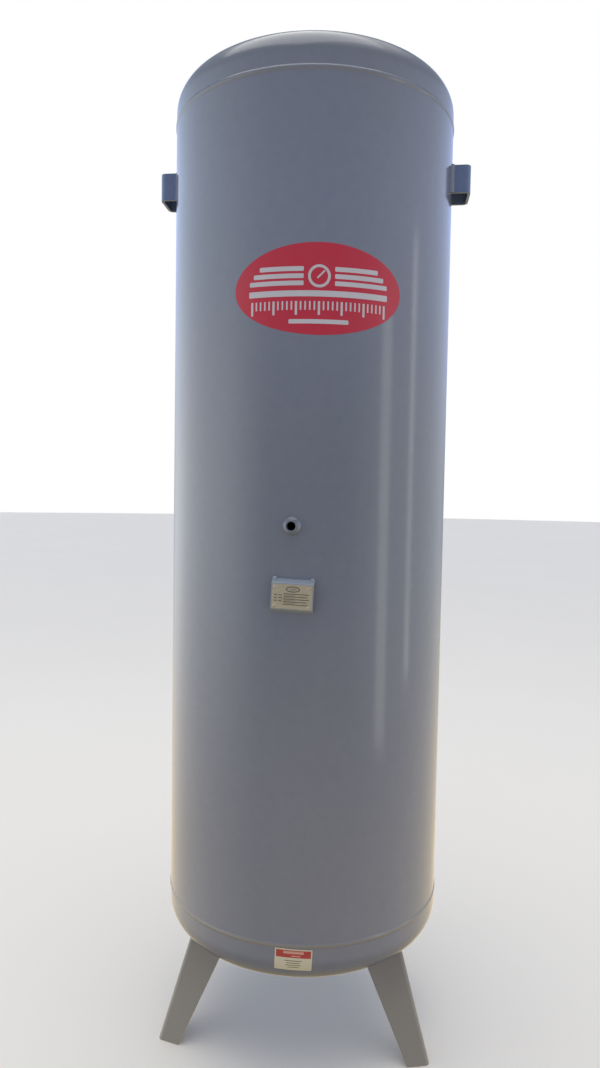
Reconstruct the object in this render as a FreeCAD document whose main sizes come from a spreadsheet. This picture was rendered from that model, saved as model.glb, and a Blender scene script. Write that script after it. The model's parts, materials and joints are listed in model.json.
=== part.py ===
import FreeCAD, Part
import math
import os
import re

import Sketcher

# Vertical compressed-air receiver of about 500 litres: a rolled shell between two
# torispherical dished ends, on three folded plate legs, with welded pipe sockets, two
# lifting lugs and a data plate.
#
# Frame: millimetres, +Z up, origin on the tank's axis at floor level. The front, with
# the gauge socket and the data plate, faces -Y. Angles round the tank are degrees from
# the front, positive towards +X.

doc = FreeCAD.newDocument("air_receiver")

# ---------------------------------------------------------------- driving dimensions
SIZES = (
    # pressure vessel
    ("shell_diameter", 600.0, "outside diameter of the shell"),
    ("shell_wall", 5.0, "rolled plate thickness"),
    ("seam_spacing", 1650.0, "from the lower to the upper girth seam"),
    ("seam_height", 310.0, "from the floor to the lower girth seam"),
    ("end_flange", 28.0, "straight flange of a dished end"),
    ("crown_radius", 600.0, "outside crown radius of a dished end"),
    ("knuckle_radius", 60.0, "outside knuckle radius of a dished end"),
    # butt welds of the vessel
    ("weld_land", 1.5, "root face left under each V groove"),
    ("groove_half", 3.0, "half width of the V groove at the surface"),
    ("bead_half", 5.0, "half width of the weld bead"),
    ("bead_rise", 2.2, "height of a girth weld bead"),
    ("seam_rise", 1.6, "height of the lengthwise weld bead"),
    ("seam_angle", 205.0, "where the lengthwise weld runs"),
    # lifting lugs
    ("lug_drop", 134.0, "upper girth seam to a lug's lower edge"),
    ("lug_height", 58.0, "height of a lug"),
    ("lug_width", 75.0, "front to back width of a lug"),
    ("lug_reach", 38.0, "how far a lug stands out from the shell"),
    ("lug_plate", 6.0, "thickness of a lug"),
    ("lug_bend", 12.0, "outside bend radius of a lug"),
    ("lug_weld_leg", 6.0, "leg length of a lug's fillet weld"),
    # legs and feet
    ("anchor_circle", 600.0, "pitch circle of the anchor holes"),
    ("anchor_hole", 14.0, "anchor hole for an M12 bolt"),
    ("anchor_edge", 20.0, "anchor hole centre to each flange's inner face"),
    ("leg_plate", 6.0, "thickness of a leg"),
    ("leg_fold", 90.0, "angle between a leg's two flanges"),
    ("leg_bend", 10.0, "outside bend radius along a leg's fold"),
    ("leg_splay", 18.0, "lean of a leg away from upright"),
    ("leg_foot_width", 50.0, "flange width at the floor"),
    ("leg_head_width", 92.0, "flange width where the leg meets the dished end"),
    ("leg_head_drop", 70.0, "lower seam to the top of the leg's blank"),
    ("leg_weld_leg", 5.0, "leg length of a leg's fillet weld"),
    ("foot_plate", 8.0, "thickness of a foot plate"),
    ("foot_side", 43.0, "length of a foot plate along each flange"),
    # pipe sockets: bore under the thread, outside diameter, reach from the surface
    ("socket_weld_leg", 7.0, "leg length of a socket's fillet weld"),
    ("socket_clear", 1.5, "drilled hole's radius beyond the socket's bore"),
    ("mouth_chamfer", 1.2, "chamfer at a socket's mouth"),
    ("gauge_bore", 15.2, "bore of the 3/8 inch gauge socket"),
    ("gauge_body", 22.0, "outside diameter of the gauge socket"),
    ("gauge_reach", 15.0, "reach of the gauge socket"),
    ("gauge_rise", 812.0, "lower girth seam to the gauge socket"),
    ("inlet_bore", 30.4, "bore of the 1 inch inlet socket"),
    ("inlet_body", 41.0, "outside diameter of the inlet socket"),
    ("inlet_reach", 26.0, "reach of the inlet socket"),
    ("inlet_rise", 450.0, "lower girth seam to the inlet socket"),
    ("outlet_bore", 30.4, "bore of the 1 inch outlet socket"),
    ("outlet_body", 41.0, "outside diameter of the outlet socket"),
    ("outlet_reach", 26.0, "reach of the outlet socket"),
    ("outlet_drop", 240.0, "upper girth seam to the outlet socket"),
    ("inspection_bore", 56.8, "bore of the 2 inch inspection socket"),
    ("inspection_body", 72.0, "outside diameter of the inspection socket"),
    ("inspection_reach", 28.0, "reach of the inspection socket"),
    ("inspection_rise", 160.0, "lower girth seam to the inspection socket"),
    ("valve_bore", 24.2, "bore of the 3/4 inch safety valve socket"),
    ("valve_body", 34.0, "outside diameter of the safety valve socket"),
    ("valve_reach", 22.0, "reach of the safety valve socket"),
    ("drain_bore", 18.7, "bore of the 1/2 inch drain socket"),
    ("drain_body", 28.0, "outside diameter of the drain socket"),
    ("drain_reach", 20.0, "reach of the drain socket"),
    ("rear_angle", 180.0, "where the rear sockets sit"),
    ("plug_flats", 64.0, "across flats of the inspection plug's head"),
    ("plug_head", 14.0, "height of the inspection plug's head"),
    ("plug_depth", 20.0, "threaded length of the inspection plug"),
    ("thread_clear", 0.15, "radial gap between the plug and its socket"),
    # data plate
    ("plate_drop", 132.0, "gauge socket to the data plate's centre"),
    ("plate_angle", 0.7, "where the data plate sits"),
    ("plate_tilt", 2.5, "the bracket is welded on a little crooked"),
    ("bracket_width", 80.0, "width of the data plate's bracket"),
    ("bracket_face", 50.0, "height of the bracket's flat face"),
    ("bracket_standoff", 14.0, "from the shell to the bracket's face"),
    ("bracket_lip", 6.5, "rise of each sloping lip back to the shell"),
    ("bracket_sheet", 2.0, "thickness of the bracket"),
    ("tack_radius", 4.5, "size of the bracket's tack welds"),
    ("plate_margin", 2.0, "bracket left bare round the data plate"),
    ("plate_sheet", 0.8, "thickness of the data plate"),
    ("rivet_shank", 3.0, "rivet diameter"),
    ("rivet_clear", 0.1, "radial gap round a rivet"),
    ("rivet_head", 5.6, "rivet head diameter"),
    ("rivet_head_rise", 1.0, "rivet head height"),
    ("rivet_inset", 5.5, "rivet centre to the data plate's edges"),
    # stuck-on film
    ("film", 0.4, "thickness of the decal and the label"),
    ("decal_drop", 399.0, "upper girth seam to the oval decal's centre"),
    ("decal_angle", 8.3, "where the oval decal sits"),
    ("decal_length", 329.0, "length of the oval decal round the shell"),
    ("decal_depth", 169.0, "height of the oval decal"),
    ("label_angle", 3.0, "where the warning label sits"),
    ("label_width", 73.0, "width of the warning label"),
    ("label_depth", 44.0, "height of the warning label"),
    ("label_drop", 28.0, "lower girth seam to the warning label's centre"),
    ("label_tilt", 2.0, "the label is stuck on a little crooked"),
)

sheet = doc.addObject("Spreadsheet::Sheet", "Sizes")
for row, (alias, size, meaning) in enumerate(SIZES, start=1):
    sheet.set("A%d" % row, alias)
    sheet.set("B%d" % row, str(size))
    sheet.set("C%d" % row, meaning)
    sheet.setAlias("B%d" % row, alias)
doc.recompute()

ALIASES = {alias for alias, size, meaning in SIZES}


def linked(formula):
    """A formula of size names, as an expression that reads the sheet."""
    return re.sub(r"[a-z][a-z_]*", lambda word: ("Sizes." if word.group() in ALIASES else "")
                  + word.group(), formula)


def value(formula):
    """The number that a formula of size names gives now."""
    return float(sheet.evalExpression(linked(formula)))


def bind(thing, **formulas):
    """Ties properties of an object to formulas of size names."""
    for prop, formula in formulas.items():
        thing.setExpression(prop.replace("__", "."), linked(formula))


# ---------------------------------------------------------------- shared formulas
RADIUS = "(shell_diameter/2)"
BORE_RADIUS = "(shell_diameter/2 - shell_wall)"
LOWER_SEAM = "seam_height"
UPPER_SEAM = "(seam_height + seam_spacing)"
LUG_BASE = "(%s - lug_drop)" % UPPER_SEAM
GAUGE_HEIGHT = "(%s + gauge_rise)" % LOWER_SEAM
INSPECTION_HEIGHT = "(%s + inspection_rise)" % LOWER_SEAM
PLATE_HEIGHT = "(%s - plate_drop)" % GAUGE_HEIGHT

# A dished end's arcs share their centres inside and out: the knuckle's centre is at
# radius KNUCKLE_AT, and the crown's centre is on the axis, CROWN_BACK behind it.
KNUCKLE_AT = "(shell_diameter/2 - knuckle_radius)"
CROWN_BACK = "sqrt((crown_radius - knuckle_radius)^2 - %s^2)" % KNUCKLE_AT
LEAN = "(%s/(crown_radius - knuckle_radius))" % KNUCKLE_AT
UPPER_CROWN_CENTRE = "(%s + end_flange - %s)" % (UPPER_SEAM, CROWN_BACK)
LOWER_CROWN_CENTRE = "(%s - end_flange + %s)" % (LOWER_SEAM, CROWN_BACK)


# ---------------------------------------------------------------- building helpers
def origin_plane(body, role):
    return next(item for item in body.Origin.OriginFeatures if item.Role == role)


def outline(body, name, role, corners, lift="0"):
    """A closed, fully dimensioned sketch on one of the body's origin planes.

    Each corner is (x, y), reached by a line, or (x, y, radius, turn), reached by an arc
    that turns left (turn 1) or right (turn -1). The coordinates and radii are formulas.
    """
    sketch = body.newObject("Sketcher::SketchObject", name)
    sketch.AttachmentSupport = [(origin_plane(body, role), "")]
    sketch.MapMode = "FlatFace"
    bind(sketch, AttachmentOffset__Base__z=lift)
    places = [FreeCAD.Vector(value(c[0]), value(c[1]), 0) for c in corners]
    ends = []
    for number, corner in enumerate(corners):
        start = places[number - 1]
        end = places[number]
        if len(corner) == 2:
            sketch.addGeometry(Part.LineSegment(start, end), False)
            ends.append((1, 2))
            continue
        radius = value(corner[2])
        turn = corner[3]
        across = end - start
        left = FreeCAD.Vector(-across.y, across.x, 0).normalize() * turn
        centre = (start + end) * 0.5 + left * math.sqrt(radius**2 - across.Length**2 / 4)
        first, last = (start, end) if turn > 0 else (end, start)
        angles = [math.atan2(p.y - centre.y, p.x - centre.x) for p in (first, last)]
        circle = Part.Circle(centre, FreeCAD.Vector(0, 0, 1), radius)
        sketch.addGeometry(Part.ArcOfCircle(circle, *angles), False)
        ends.append((1, 2) if turn > 0 else (2, 1))
    for number, corner in enumerate(corners):
        following = (number + 1) % len(corners)
        sketch.addConstraint(Sketcher.Constraint(
            "Coincident", number, ends[number][1], following, ends[following][0]))
    for number, corner in enumerate(corners):
        dimensions = [("DistanceX", corner[0]), ("DistanceY", corner[1])]
        for kind, formula in dimensions:
            index = sketch.addConstraint(Sketcher.Constraint(
                kind, -1, 1, number, ends[number][1], value(formula)))
            sketch.setExpression("Constraints[%d]" % index, linked(formula))
        if len(corner) == 4:
            index = sketch.addConstraint(Sketcher.Constraint("Radius", number, value(corner[2])))
            sketch.setExpression("Constraints[%d]" % index, linked(corner[2]))
    return sketch


def turned(name, corners):
    """A body turned about Z from an outline in the XZ plane."""
    body = doc.addObject("PartDesign::Body", name)
    sketch = outline(body, name + "_outline", "XZ_Plane", corners)
    spin = body.newObject("PartDesign::Revolution", name + "_turn")
    spin.Profile = sketch
    spin.ReferenceAxis = (sketch, ["V_Axis"])
    spin.Angle = 360.0
    return body


def padded(name, role, corners, length, lift="0"):
    """A body padded from an outline on an origin plane."""
    body = doc.addObject("PartDesign::Body", name)
    pad = body.newObject("PartDesign::Pad", name + "_pad")
    pad.Profile = outline(body, name + "_outline", role, corners, lift)
    bind(pad, Length=length)
    return body


def lofted(name, lower, upper, lower_lift, upper_lift):
    """A body with flat sides between two outlines at two heights."""
    body = doc.addObject("PartDesign::Body", name)
    loft = body.newObject("PartDesign::AdditiveLoft", name + "_loft")
    loft.Profile = outline(body, name + "_lower", "XY_Plane", lower, lower_lift)
    loft.Sections = [outline(body, name + "_upper", "XY_Plane", upper, upper_lift)]
    loft.Ruled = True
    return body


def cylinder(name, radius, height, z="0"):
    thing = doc.addObject("Part::Cylinder", name)
    bind(thing, Radius=radius, Height=height, Placement__Base__z=z)
    return thing


def cone(name, low_radius, high_radius, height, z="0"):
    thing = doc.addObject("Part::Cone", name)
    bind(thing, Radius1=low_radius, Radius2=high_radius, Height=height, Placement__Base__z=z)
    return thing


def fused(name, things):
    thing = doc.addObject("Part::MultiFuse", name)
    thing.Shapes = things
    return thing


def cut(name, base, tools):
    """The base with every tool cut away."""
    thing = doc.addObject("Part::Cut", name)
    thing.Base = base
    thing.Tool = tools[0] if len(tools) == 1 else fused(name + "_tools", tools)
    return thing


def common(name, things):
    thing = doc.addObject("Part::MultiCommon", name)
    thing.Shapes = things
    return thing


def place(thing, angle="0", z="0", lay=0.0):
    """Turns a piece about Z to its angle from the front and lifts it to its height.

    lay turns the piece about X first: 90 lays its local Z along -Y, at the front.
    """
    spin = FreeCAD.Rotation(FreeCAD.Vector(0, 0, 1), value(angle))
    first = FreeCAD.Rotation(FreeCAD.Vector(1, 0, 0), lay)
    thing.Placement = FreeCAD.Placement(FreeCAD.Vector(), spin * first)
    bind(thing, Placement__Base__z=z)
    return thing


# ---------------------------------------------------------------- dished ends
def end_outline(seam, sign, offset="0", filled=False):
    """Half section of a dished end, from its seam outwards along +Z or -Z.

    offset moves the outer face outwards. A filled end has no inner face.
    """
    def out(formula):
        return "%s + (%s)*(%d)" % (seam, formula, sign)

    outer_knuckle = "(knuckle_radius + %s)" % offset
    outer_crown = "(crown_radius + %s)" % offset
    crown_height = "end_flange - %s + %s" % (CROWN_BACK, "%s")
    corners = [
        ("shell_diameter/2 + %s" % offset, out("groove_half")),
        ("shell_diameter/2 + %s" % offset, out("end_flange")),
        ("%s*%s" % (outer_crown, LEAN), out(crown_height % "%s*sqrt(1 - %s^2)" % (outer_crown, LEAN)),
         outer_knuckle, sign),
        ("0", out(crown_height % outer_crown), outer_crown, sign),
    ]
    if filled:
        return corners + [("0", out("groove_half"))]
    inner_crown = "(crown_radius - shell_wall)"
    return corners + [
        ("0", out(crown_height % inner_crown)),
        ("%s*%s" % (inner_crown, LEAN), out(crown_height % "%s*sqrt(1 - %s^2)" % (inner_crown, LEAN)),
         inner_crown, -sign),
        (BORE_RADIUS, out("end_flange"), "knuckle_radius - shell_wall", -sign),
        (BORE_RADIUS, out("0")),
        ("%s + weld_land" % BORE_RADIUS, out("0")),
    ]


# ---------------------------------------------------------------- welds of the vessel
def bead_radius(rise):
    return "(bead_half^2 + %s^2)/(2*%s)" % (rise, rise)


def girth_weld(name, seam):
    """A V weld round the vessel with a rounded bead on its face."""
    return turned(name, [
        ("%s + weld_land" % BORE_RADIUS, seam),
        (RADIUS, "%s - groove_half" % seam),
        (RADIUS, "%s - bead_half" % seam),
        (RADIUS, "%s + bead_half" % seam, bead_radius("bead_rise"), 1),
        (RADIUS, "%s + groove_half" % seam),
    ])


NODES = []


def node(name, thing):
    """Names a finished piece, which becomes a file of its own."""
    thing.Label = name
    NODES.append(thing)
    return thing


node("bottom_girth_weld", girth_weld("bottom_girth_bead", LOWER_SEAM))
node("top_girth_weld", girth_weld("top_girth_bead", UPPER_SEAM))

# The lengthwise seam: a V groove along the shell between the girth beads, filled by a
# weld whose rounded face stands proud. Its outline is drawn at the front.
SEAM_LENGTH = "seam_spacing - 2*bead_half"
SEAM_START = "seam_height + bead_half"
SEAM_FACE = "(-shell_diameter/2 - seam_rise)"
groove_tool = padded("seam_groove", "XY_Plane", [
    ("0", "-%s - weld_land" % BORE_RADIUS),
    ("-groove_half", "-%s" % RADIUS),
    ("-groove_half", SEAM_FACE),
    ("groove_half", SEAM_FACE),
    ("groove_half", "-%s" % RADIUS),
], SEAM_LENGTH, SEAM_START)
seam_fill = padded("seam_fill", "XY_Plane", [
    ("0", "-%s - weld_land" % BORE_RADIUS),
    ("-groove_half", "-%s" % RADIUS),
    ("groove_half", "-%s" % RADIUS),
], SEAM_LENGTH, SEAM_START)
seam_bead = padded("seam_bead", "XY_Plane", [
    ("-bead_half", "-%s + seam_rise" % RADIUS),
    ("-bead_half", "-%s" % RADIUS),
    ("bead_half", "-%s" % RADIUS, bead_radius("seam_rise"), 1),
    ("bead_half", "-%s + seam_rise" % RADIUS),
], SEAM_LENGTH, SEAM_START)
vessel_core = cylinder("vessel_core", RADIUS, SEAM_LENGTH, SEAM_START)
seam_cap = cut("seam_cap", seam_bead, [vessel_core])
seam_root = common("seam_root", [seam_fill, vessel_core])
seam_weld = node("longitudinal_weld", fused("longitudinal_seam", [seam_cap, seam_root]))
place(seam_weld, "seam_angle")
place(groove_tool, "seam_angle")

# ---------------------------------------------------------------- pipe sockets
# Each socket is drawn standing along +Z with the vessel's surface at z = surface, and
# then laid where it belongs. It sits on the vessel's outside over a drilled hole, with
# a fillet weld round it.
SOCKET_REST = 12.0  # how far a socket's blank starts below the vessel's surface


def socket(name, key, surface, vessel, angle="0", z="0", lay=0.0):
    """A socket and its weld as nodes, and the tool that drills the vessel for it."""
    bore = key + "_bore/2"
    body = key + "_body/2"
    reach = key + "_reach"
    start = "%s - %g" % (surface, SOCKET_REST)
    length = "%s + %g" % (reach, SOCKET_REST)
    mouth = cone(key + "_mouth", bore, bore + " + mouth_chamfer", "mouth_chamfer",
                 "%s + %s - mouth_chamfer" % (surface, reach))
    barrel = cylinder(key + "_barrel", body, length, start)
    thread = cylinder(key + "_thread", bore, length, start)
    piece = cut(key + "_piece", barrel, [thread, mouth, vessel])
    node(name, place(piece, angle, z, lay))

    fillet = cone(key + "_fillet", "%s + socket_weld_leg + %g" % (body, SOCKET_REST), body,
                  "socket_weld_leg + %g" % SOCKET_REST, start)
    core = cylinder(key + "_core", body, length, start)
    weld = cut(key + "_weld", fillet, [core, vessel])
    node(name + "_weld", place(weld, angle, z, lay))

    drill = cylinder(key + "_drill", bore + " + socket_clear", "%g + shell_wall" % (2 * SOCKET_REST),
                     "%s - shell_wall - %g" % (surface, SOCKET_REST))
    hole = doc.addObject("Part::Compound", key + "_hole")
    hole.Links = [drill]
    return place(hole, angle, z, lay)


def lying_vessel(name):
    """The shell's outer cylinder, lying along Y about the origin, as a cutting tool."""
    thing = cylinder(name, RADIUS, "shell_diameter")
    thing.Placement = FreeCAD.Placement(
        FreeCAD.Vector(0, -value(RADIUS), 0), FreeCAD.Rotation(FreeCAD.Vector(1, 0, 0), -90))
    bind(thing, Placement__Base__y="-%s" % RADIUS)
    return thing


def crown_ball(name):
    thing = doc.addObject("Part::Sphere", name)
    bind(thing, Radius="crown_radius")
    return thing


shell_holes = [
    socket("gauge_socket", "gauge", RADIUS, lying_vessel("gauge_vessel"),
           z=GAUGE_HEIGHT, lay=90),
    socket("inlet_socket", "inlet", RADIUS, lying_vessel("inlet_vessel"),
           "rear_angle", "%s + inlet_rise" % LOWER_SEAM, 90),
    socket("outlet_socket", "outlet", RADIUS, lying_vessel("outlet_vessel"),
           "rear_angle", "%s - outlet_drop" % UPPER_SEAM, 90),
    socket("inspection_socket", "inspection", RADIUS, lying_vessel("inspection_vessel"),
           "rear_angle", INSPECTION_HEIGHT, 90),
]
top_hole = socket("safety_valve_socket", "valve", "crown_radius", crown_ball("top_crown_ball"),
                  z=UPPER_CROWN_CENTRE)
bottom_hole = socket("drain_socket", "drain", "crown_radius", crown_ball("bottom_crown_ball"),
                     z=LOWER_CROWN_CENTRE, lay=180)

# The inspection socket is closed by a hexagon-headed plug that seats on its face.
PLUG_SEAT = "%s + inspection_reach" % RADIUS
plug_hexagon = doc.addObject("Part::Prism", "plug_hexagon")
plug_hexagon.Polygon = 6
bind(plug_hexagon, Circumradius="plug_flats/2/cos(30)", Height="plug_head",
     Placement__Base__z=PLUG_SEAT)
plug_thread = cylinder("plug_thread", "inspection_bore/2 - thread_clear", "plug_depth",
                       "%s - plug_depth" % PLUG_SEAT)
plug = node("inspection_plug", fused("plug", [plug_hexagon, plug_thread]))
place(plug, "rear_angle", INSPECTION_HEIGHT, 90)

# ---------------------------------------------------------------- shell and ends
shell_blank = turned("shell_blank", [
    (BORE_RADIUS, LOWER_SEAM),
    ("%s + weld_land" % BORE_RADIUS, LOWER_SEAM),
    (RADIUS, "%s + groove_half" % LOWER_SEAM),
    (RADIUS, "%s - groove_half" % UPPER_SEAM),
    ("%s + weld_land" % BORE_RADIUS, UPPER_SEAM),
    (BORE_RADIUS, UPPER_SEAM),
])
node("shell_plate", cut("shell", shell_blank, [groove_tool] + shell_holes))

top_blank = turned("top_end_blank", end_outline(UPPER_SEAM, 1))
node("top_dished_end", cut("top_end", top_blank, [top_hole]))
bottom_blank = turned("bottom_end_blank", end_outline(LOWER_SEAM, -1))
node("bottom_dished_end", cut("bottom_end", bottom_blank, [bottom_hole]))

# ---------------------------------------------------------------- lifting lugs
# A lug is a plate bent to a U, standing upright with its web outwards, so that a sling
# passes down between the web and the shell. It is drawn at the +X side.
LUG_FACE = "(shell_diameter/2 + lug_reach)"
LUG_ROOT = "(shell_diameter/2 - lug_plate)"
LUG_SIDES = {"left": -90.0, "right": 90.0}


def lug_outline():
    half = "lug_width/2"
    inner = "(lug_width/2 - lug_plate)"
    bend = "%s - lug_bend" % LUG_FACE
    return [
        (LUG_ROOT, "-%s" % half),
        (bend, "-%s" % half),
        (LUG_FACE, "-%s + lug_bend" % half, "lug_bend", 1),
        (LUG_FACE, "%s - lug_bend" % half),
        (bend, half, "lug_bend", 1),
        (LUG_ROOT, half),
        (LUG_ROOT, inner),
        (bend, inner),
        ("%s - lug_plate" % LUG_FACE, "%s - lug_bend" % half, "lug_bend - lug_plate", -1),
        ("%s - lug_plate" % LUG_FACE, "-%s + lug_bend" % half),
        (bend, "-%s" % inner, "lug_bend - lug_plate", -1),
        (LUG_ROOT, "-%s" % inner),
    ]


def fillet_outline(side):
    """A triangular bead in the corner between a lug's flange and the shell."""
    face = "lug_width/2*(%d)" % side
    surface = "sqrt(shell_diameter^2/4 - lug_width^2/4)"
    return [
        ("%s - lug_weld_leg" % surface, face),
        ("%s + lug_weld_leg" % surface, face),
        ("%s - lug_weld_leg" % surface, "%s + 2*lug_weld_leg*(%d)" % (face, side)),
    ]


for side, side_angle in LUG_SIDES.items():
    blank = padded(side + "_lug_blank", "XY_Plane", lug_outline(), "lug_height")
    core = cylinder(side + "_lug_core", RADIUS, "lug_height")
    lug = node(side + "_lifting_lug", cut(side + "_lug", blank, [core]))
    place(lug, "%g - 90" % side_angle, LUG_BASE)
    beads = [padded("%s_lug_bead_%d" % (side, number), "XY_Plane", fillet_outline(flank), "lug_height")
             for number, flank in enumerate((-1, 1))]
    bead_core = cylinder(side + "_lug_bead_core", RADIUS, "lug_height")
    pair = doc.addObject("Part::Compound", side + "_lug_beads")
    pair.Links = [cut("%s_bead" % bead.Name, bead, [bead_core]) for bead in beads]
    node(side + "_lug_weld", place(pair, "%g - 90" % side_angle, LUG_BASE))

# ---------------------------------------------------------------- legs
# A leg is a tapered plate folded along its middle, the fold outwards. It is drawn at
# the +X side. Its fold leans out towards the floor, and the anchor hole sits inside the
# fold, anchor_edge from both flanges.
HALF_FOLD = "(leg_fold/2)"
FOLD_AT_FLOOR = "(anchor_circle/2 + (anchor_edge + leg_plate)/sin%s)" % HALF_FOLD
LEG_TOP = "(seam_height - leg_head_drop)"
LEG_ANGLES = {"front_left": -60.0, "front_right": 60.0, "rear": 180.0}


def fold_at(height):
    return "(%s - %s*tan(leg_splay))" % (FOLD_AT_FLOOR, height)


def along(apex, distance, side, inset="0"):
    """A point down one flange from the fold, moved in from its outer face by inset."""
    x = "%s - (%s)*cos%s - (%s)*sin%s" % (apex, distance, HALF_FOLD, inset, HALF_FOLD)
    y = "((%s)*sin%s - (%s)*cos%s)*(%d)" % (distance, HALF_FOLD, inset, HALF_FOLD, side)
    return x, y


def folded_section(apex, width):
    """The leg's section: two flanges with a rounded fold."""
    outer = "leg_bend/tan%s" % HALF_FOLD
    return [
        along(apex, outer, -1),
        along(apex, outer, 1) + ("leg_bend", 1),
        along(apex, width, 1),
        along(apex, width, 1, "leg_plate"),
        along(apex, outer, 1, "leg_plate"),
        along(apex, outer, -1, "leg_plate") + ("leg_bend - leg_plate", -1),
        along(apex, width, -1, "leg_plate"),
        along(apex, width, -1),
    ]


def grown_section(apex, width):
    """The leg's section grown all round by its weld."""
    grown = "leg_weld_leg"
    tip = "(%s + %s/sin%s)" % (apex, grown, HALF_FOLD)
    far = "%s + %s + %s/tan%s" % (width, grown, grown, HALF_FOLD)
    deep = "leg_plate + 2*%s" % grown
    inner = "(%s)/tan%s" % (deep, HALF_FOLD)
    return [
        (tip, "0"),
        along(tip, far, 1),
        along(tip, far, 1, deep),
        along(tip, inner, 1, deep),
        along(tip, far, -1, deep),
        along(tip, far, -1),
    ]


bottom_form = turned("bottom_form", end_outline(LOWER_SEAM, -1, filled=True))
bottom_grown = turned("bottom_grown", end_outline(LOWER_SEAM, -1, "leg_weld_leg", filled=True))
INNER_CORNER = "(%s - leg_plate/sin%s)" % (FOLD_AT_FLOOR, HALF_FOLD)


def foot_outline():
    """A square tucked into the fold, with its far corner cut off."""
    def inside(one, other):
        x = "%s - (%s + %s)*cos%s" % (INNER_CORNER, one, other, HALF_FOLD)
        y = "(%s - %s)*sin%s" % (one, other, HALF_FOLD)
        return x, y

    return [
        inside("0", "0"),
        inside("foot_side", "0"),
        inside("foot_side", "foot_side/2"),
        inside("foot_side/2", "foot_side"),
        inside("0", "foot_side"),
    ]


for name, leg_angle in LEG_ANGLES.items():
    turn = "%g - 90" % leg_angle
    low_fold = fold_at("0")
    high_fold = fold_at(LEG_TOP)
    blank = lofted(name + "_leg_blank", folded_section(low_fold, "leg_foot_width"),
                   folded_section(high_fold, "leg_head_width"), "0", LEG_TOP)
    node(name + "_leg", place(cut(name + "_leg_cut", blank, [bottom_form]), turn))

    grown = lofted(name + "_leg_grown", grown_section(low_fold, "leg_foot_width"),
                   grown_section(high_fold, "leg_head_width"), "0", LEG_TOP)
    ring = common(name + "_leg_ring", [grown, bottom_grown])
    weld = cut(name + "_leg_bead", ring, [bottom_form, blank])
    node(name + "_leg_weld", place(weld, turn))

    plate = padded(name + "_foot_blank", "XY_Plane", foot_outline(), "foot_plate")
    hole = cylinder(name + "_anchor_hole", "anchor_hole/2", "foot_plate")
    bind(hole, Placement__Base__x="anchor_circle/2")
    node(name + "_foot_plate", place(cut(name + "_foot", plate, [hole, blank]), turn))

# ---------------------------------------------------------------- data plate
# The bracket is a strip bent back to the shell along its top and bottom. It is drawn at
# the front, then tilted about its centre and trimmed to the shell.
BRACKET_FACE = "(-shell_diameter/2 - bracket_standoff)"
BRACKET_ROOT = "(-shell_diameter/2 + bracket_sheet)"
LIP_RUN = "(bracket_standoff + bracket_sheet)"
LIP_SLOPE = "(bracket_lip/bracket_standoff)"


def tilted(thing):
    """Turns a piece of the data plate clockwise about its centre, seen from the front."""
    turn = FreeCAD.Rotation(FreeCAD.Vector(0, 1, 0), value("plate_tilt"))
    thing.Placement = FreeCAD.Placement(FreeCAD.Vector(), turn) * thing.Placement
    return thing


def bracket_outline():
    half = "bracket_face/2"
    inner_half = "(bracket_face/2 - bracket_sheet/2)"
    root_rise = "(%s*%s)" % (LIP_RUN, LIP_SLOPE)
    inner_rise = "((%s - bracket_sheet)*%s)" % (LIP_RUN, LIP_SLOPE)
    inner_face = "%s + bracket_sheet" % BRACKET_FACE
    return [
        (BRACKET_FACE, "-%s" % half),
        (BRACKET_ROOT, "-%s - %s" % (half, root_rise)),
        (BRACKET_ROOT, "-%s - %s" % (inner_half, inner_rise)),
        (inner_face, "-%s" % inner_half),
        (inner_face, inner_half),
        (BRACKET_ROOT, "%s + %s" % (inner_half, inner_rise)),
        (BRACKET_ROOT, "%s + %s" % (half, root_rise)),
        (BRACKET_FACE, half),
    ]


def rivet_places():
    x = "(bracket_width/2 - plate_margin - rivet_inset)"
    z = "(bracket_face/2 - plate_margin - rivet_inset)"
    return [(x, z, across, up) for across in (-1, 1) for up in (-1, 1)]


def rivet_part(name, radius, start, length):
    """Four cylinders at the rivets, along -Y from start."""
    items = []
    for number, (x, z, across, up) in enumerate(rivet_places()):
        item = cylinder("%s_%d" % (name, number), radius, length)
        item.Placement = FreeCAD.Placement(
            FreeCAD.Vector(value(x) * across, value(start), value(z) * up),
            FreeCAD.Rotation(FreeCAD.Vector(1, 0, 0), 90))
        bind(item, Placement__Base__x="%s*(%d)" % (x, across), Placement__Base__y=start,
             Placement__Base__z="%s*(%d)" % (z, up))
        items.append(item)
    return items


def boxed(name, width, depth, height, y):
    """A box centred on x and z, from y towards -Y."""
    thing = doc.addObject("Part::Box", name)
    bind(thing, Length=width, Width=depth, Height=height)
    bind(thing, Placement__Base__x="-(%s)/2" % width, Placement__Base__y="%s - %s" % (y, depth),
         Placement__Base__z="-(%s)/2" % height)
    return thing


def tilted_group(name, things):
    group = doc.addObject("Part::Compound", name)
    group.Links = things
    return tilted(group)


SHANK_START = "(%s + bracket_sheet + rivet_head_rise)" % BRACKET_FACE
SHANK_LENGTH = "(bracket_sheet + plate_sheet + rivet_head_rise + rivet_head_rise/2)"
PLATE_TOP = "(%s - plate_sheet)" % BRACKET_FACE
PLATE_WIDTH = "(bracket_width - 2*plate_margin)"
PLATE_DEPTH = "(bracket_face - 2*plate_margin)"

rivet_holes = tilted_group("rivet_holes", rivet_part(
    "rivet_hole", "rivet_shank/2 + rivet_clear", SHANK_START, SHANK_LENGTH))
bracket_blank = padded("bracket_blank", "YZ_Plane", bracket_outline(), "bracket_width",
                       "-bracket_width/2")
bracket_core = cylinder("bracket_core", RADIUS, "shell_diameter", "-%s" % RADIUS)
bracket = cut("bracket", tilted(bracket_blank), [bracket_core, rivet_holes])
node("nameplate_bracket", place(bracket, "plate_angle", PLATE_HEIGHT))

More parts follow.
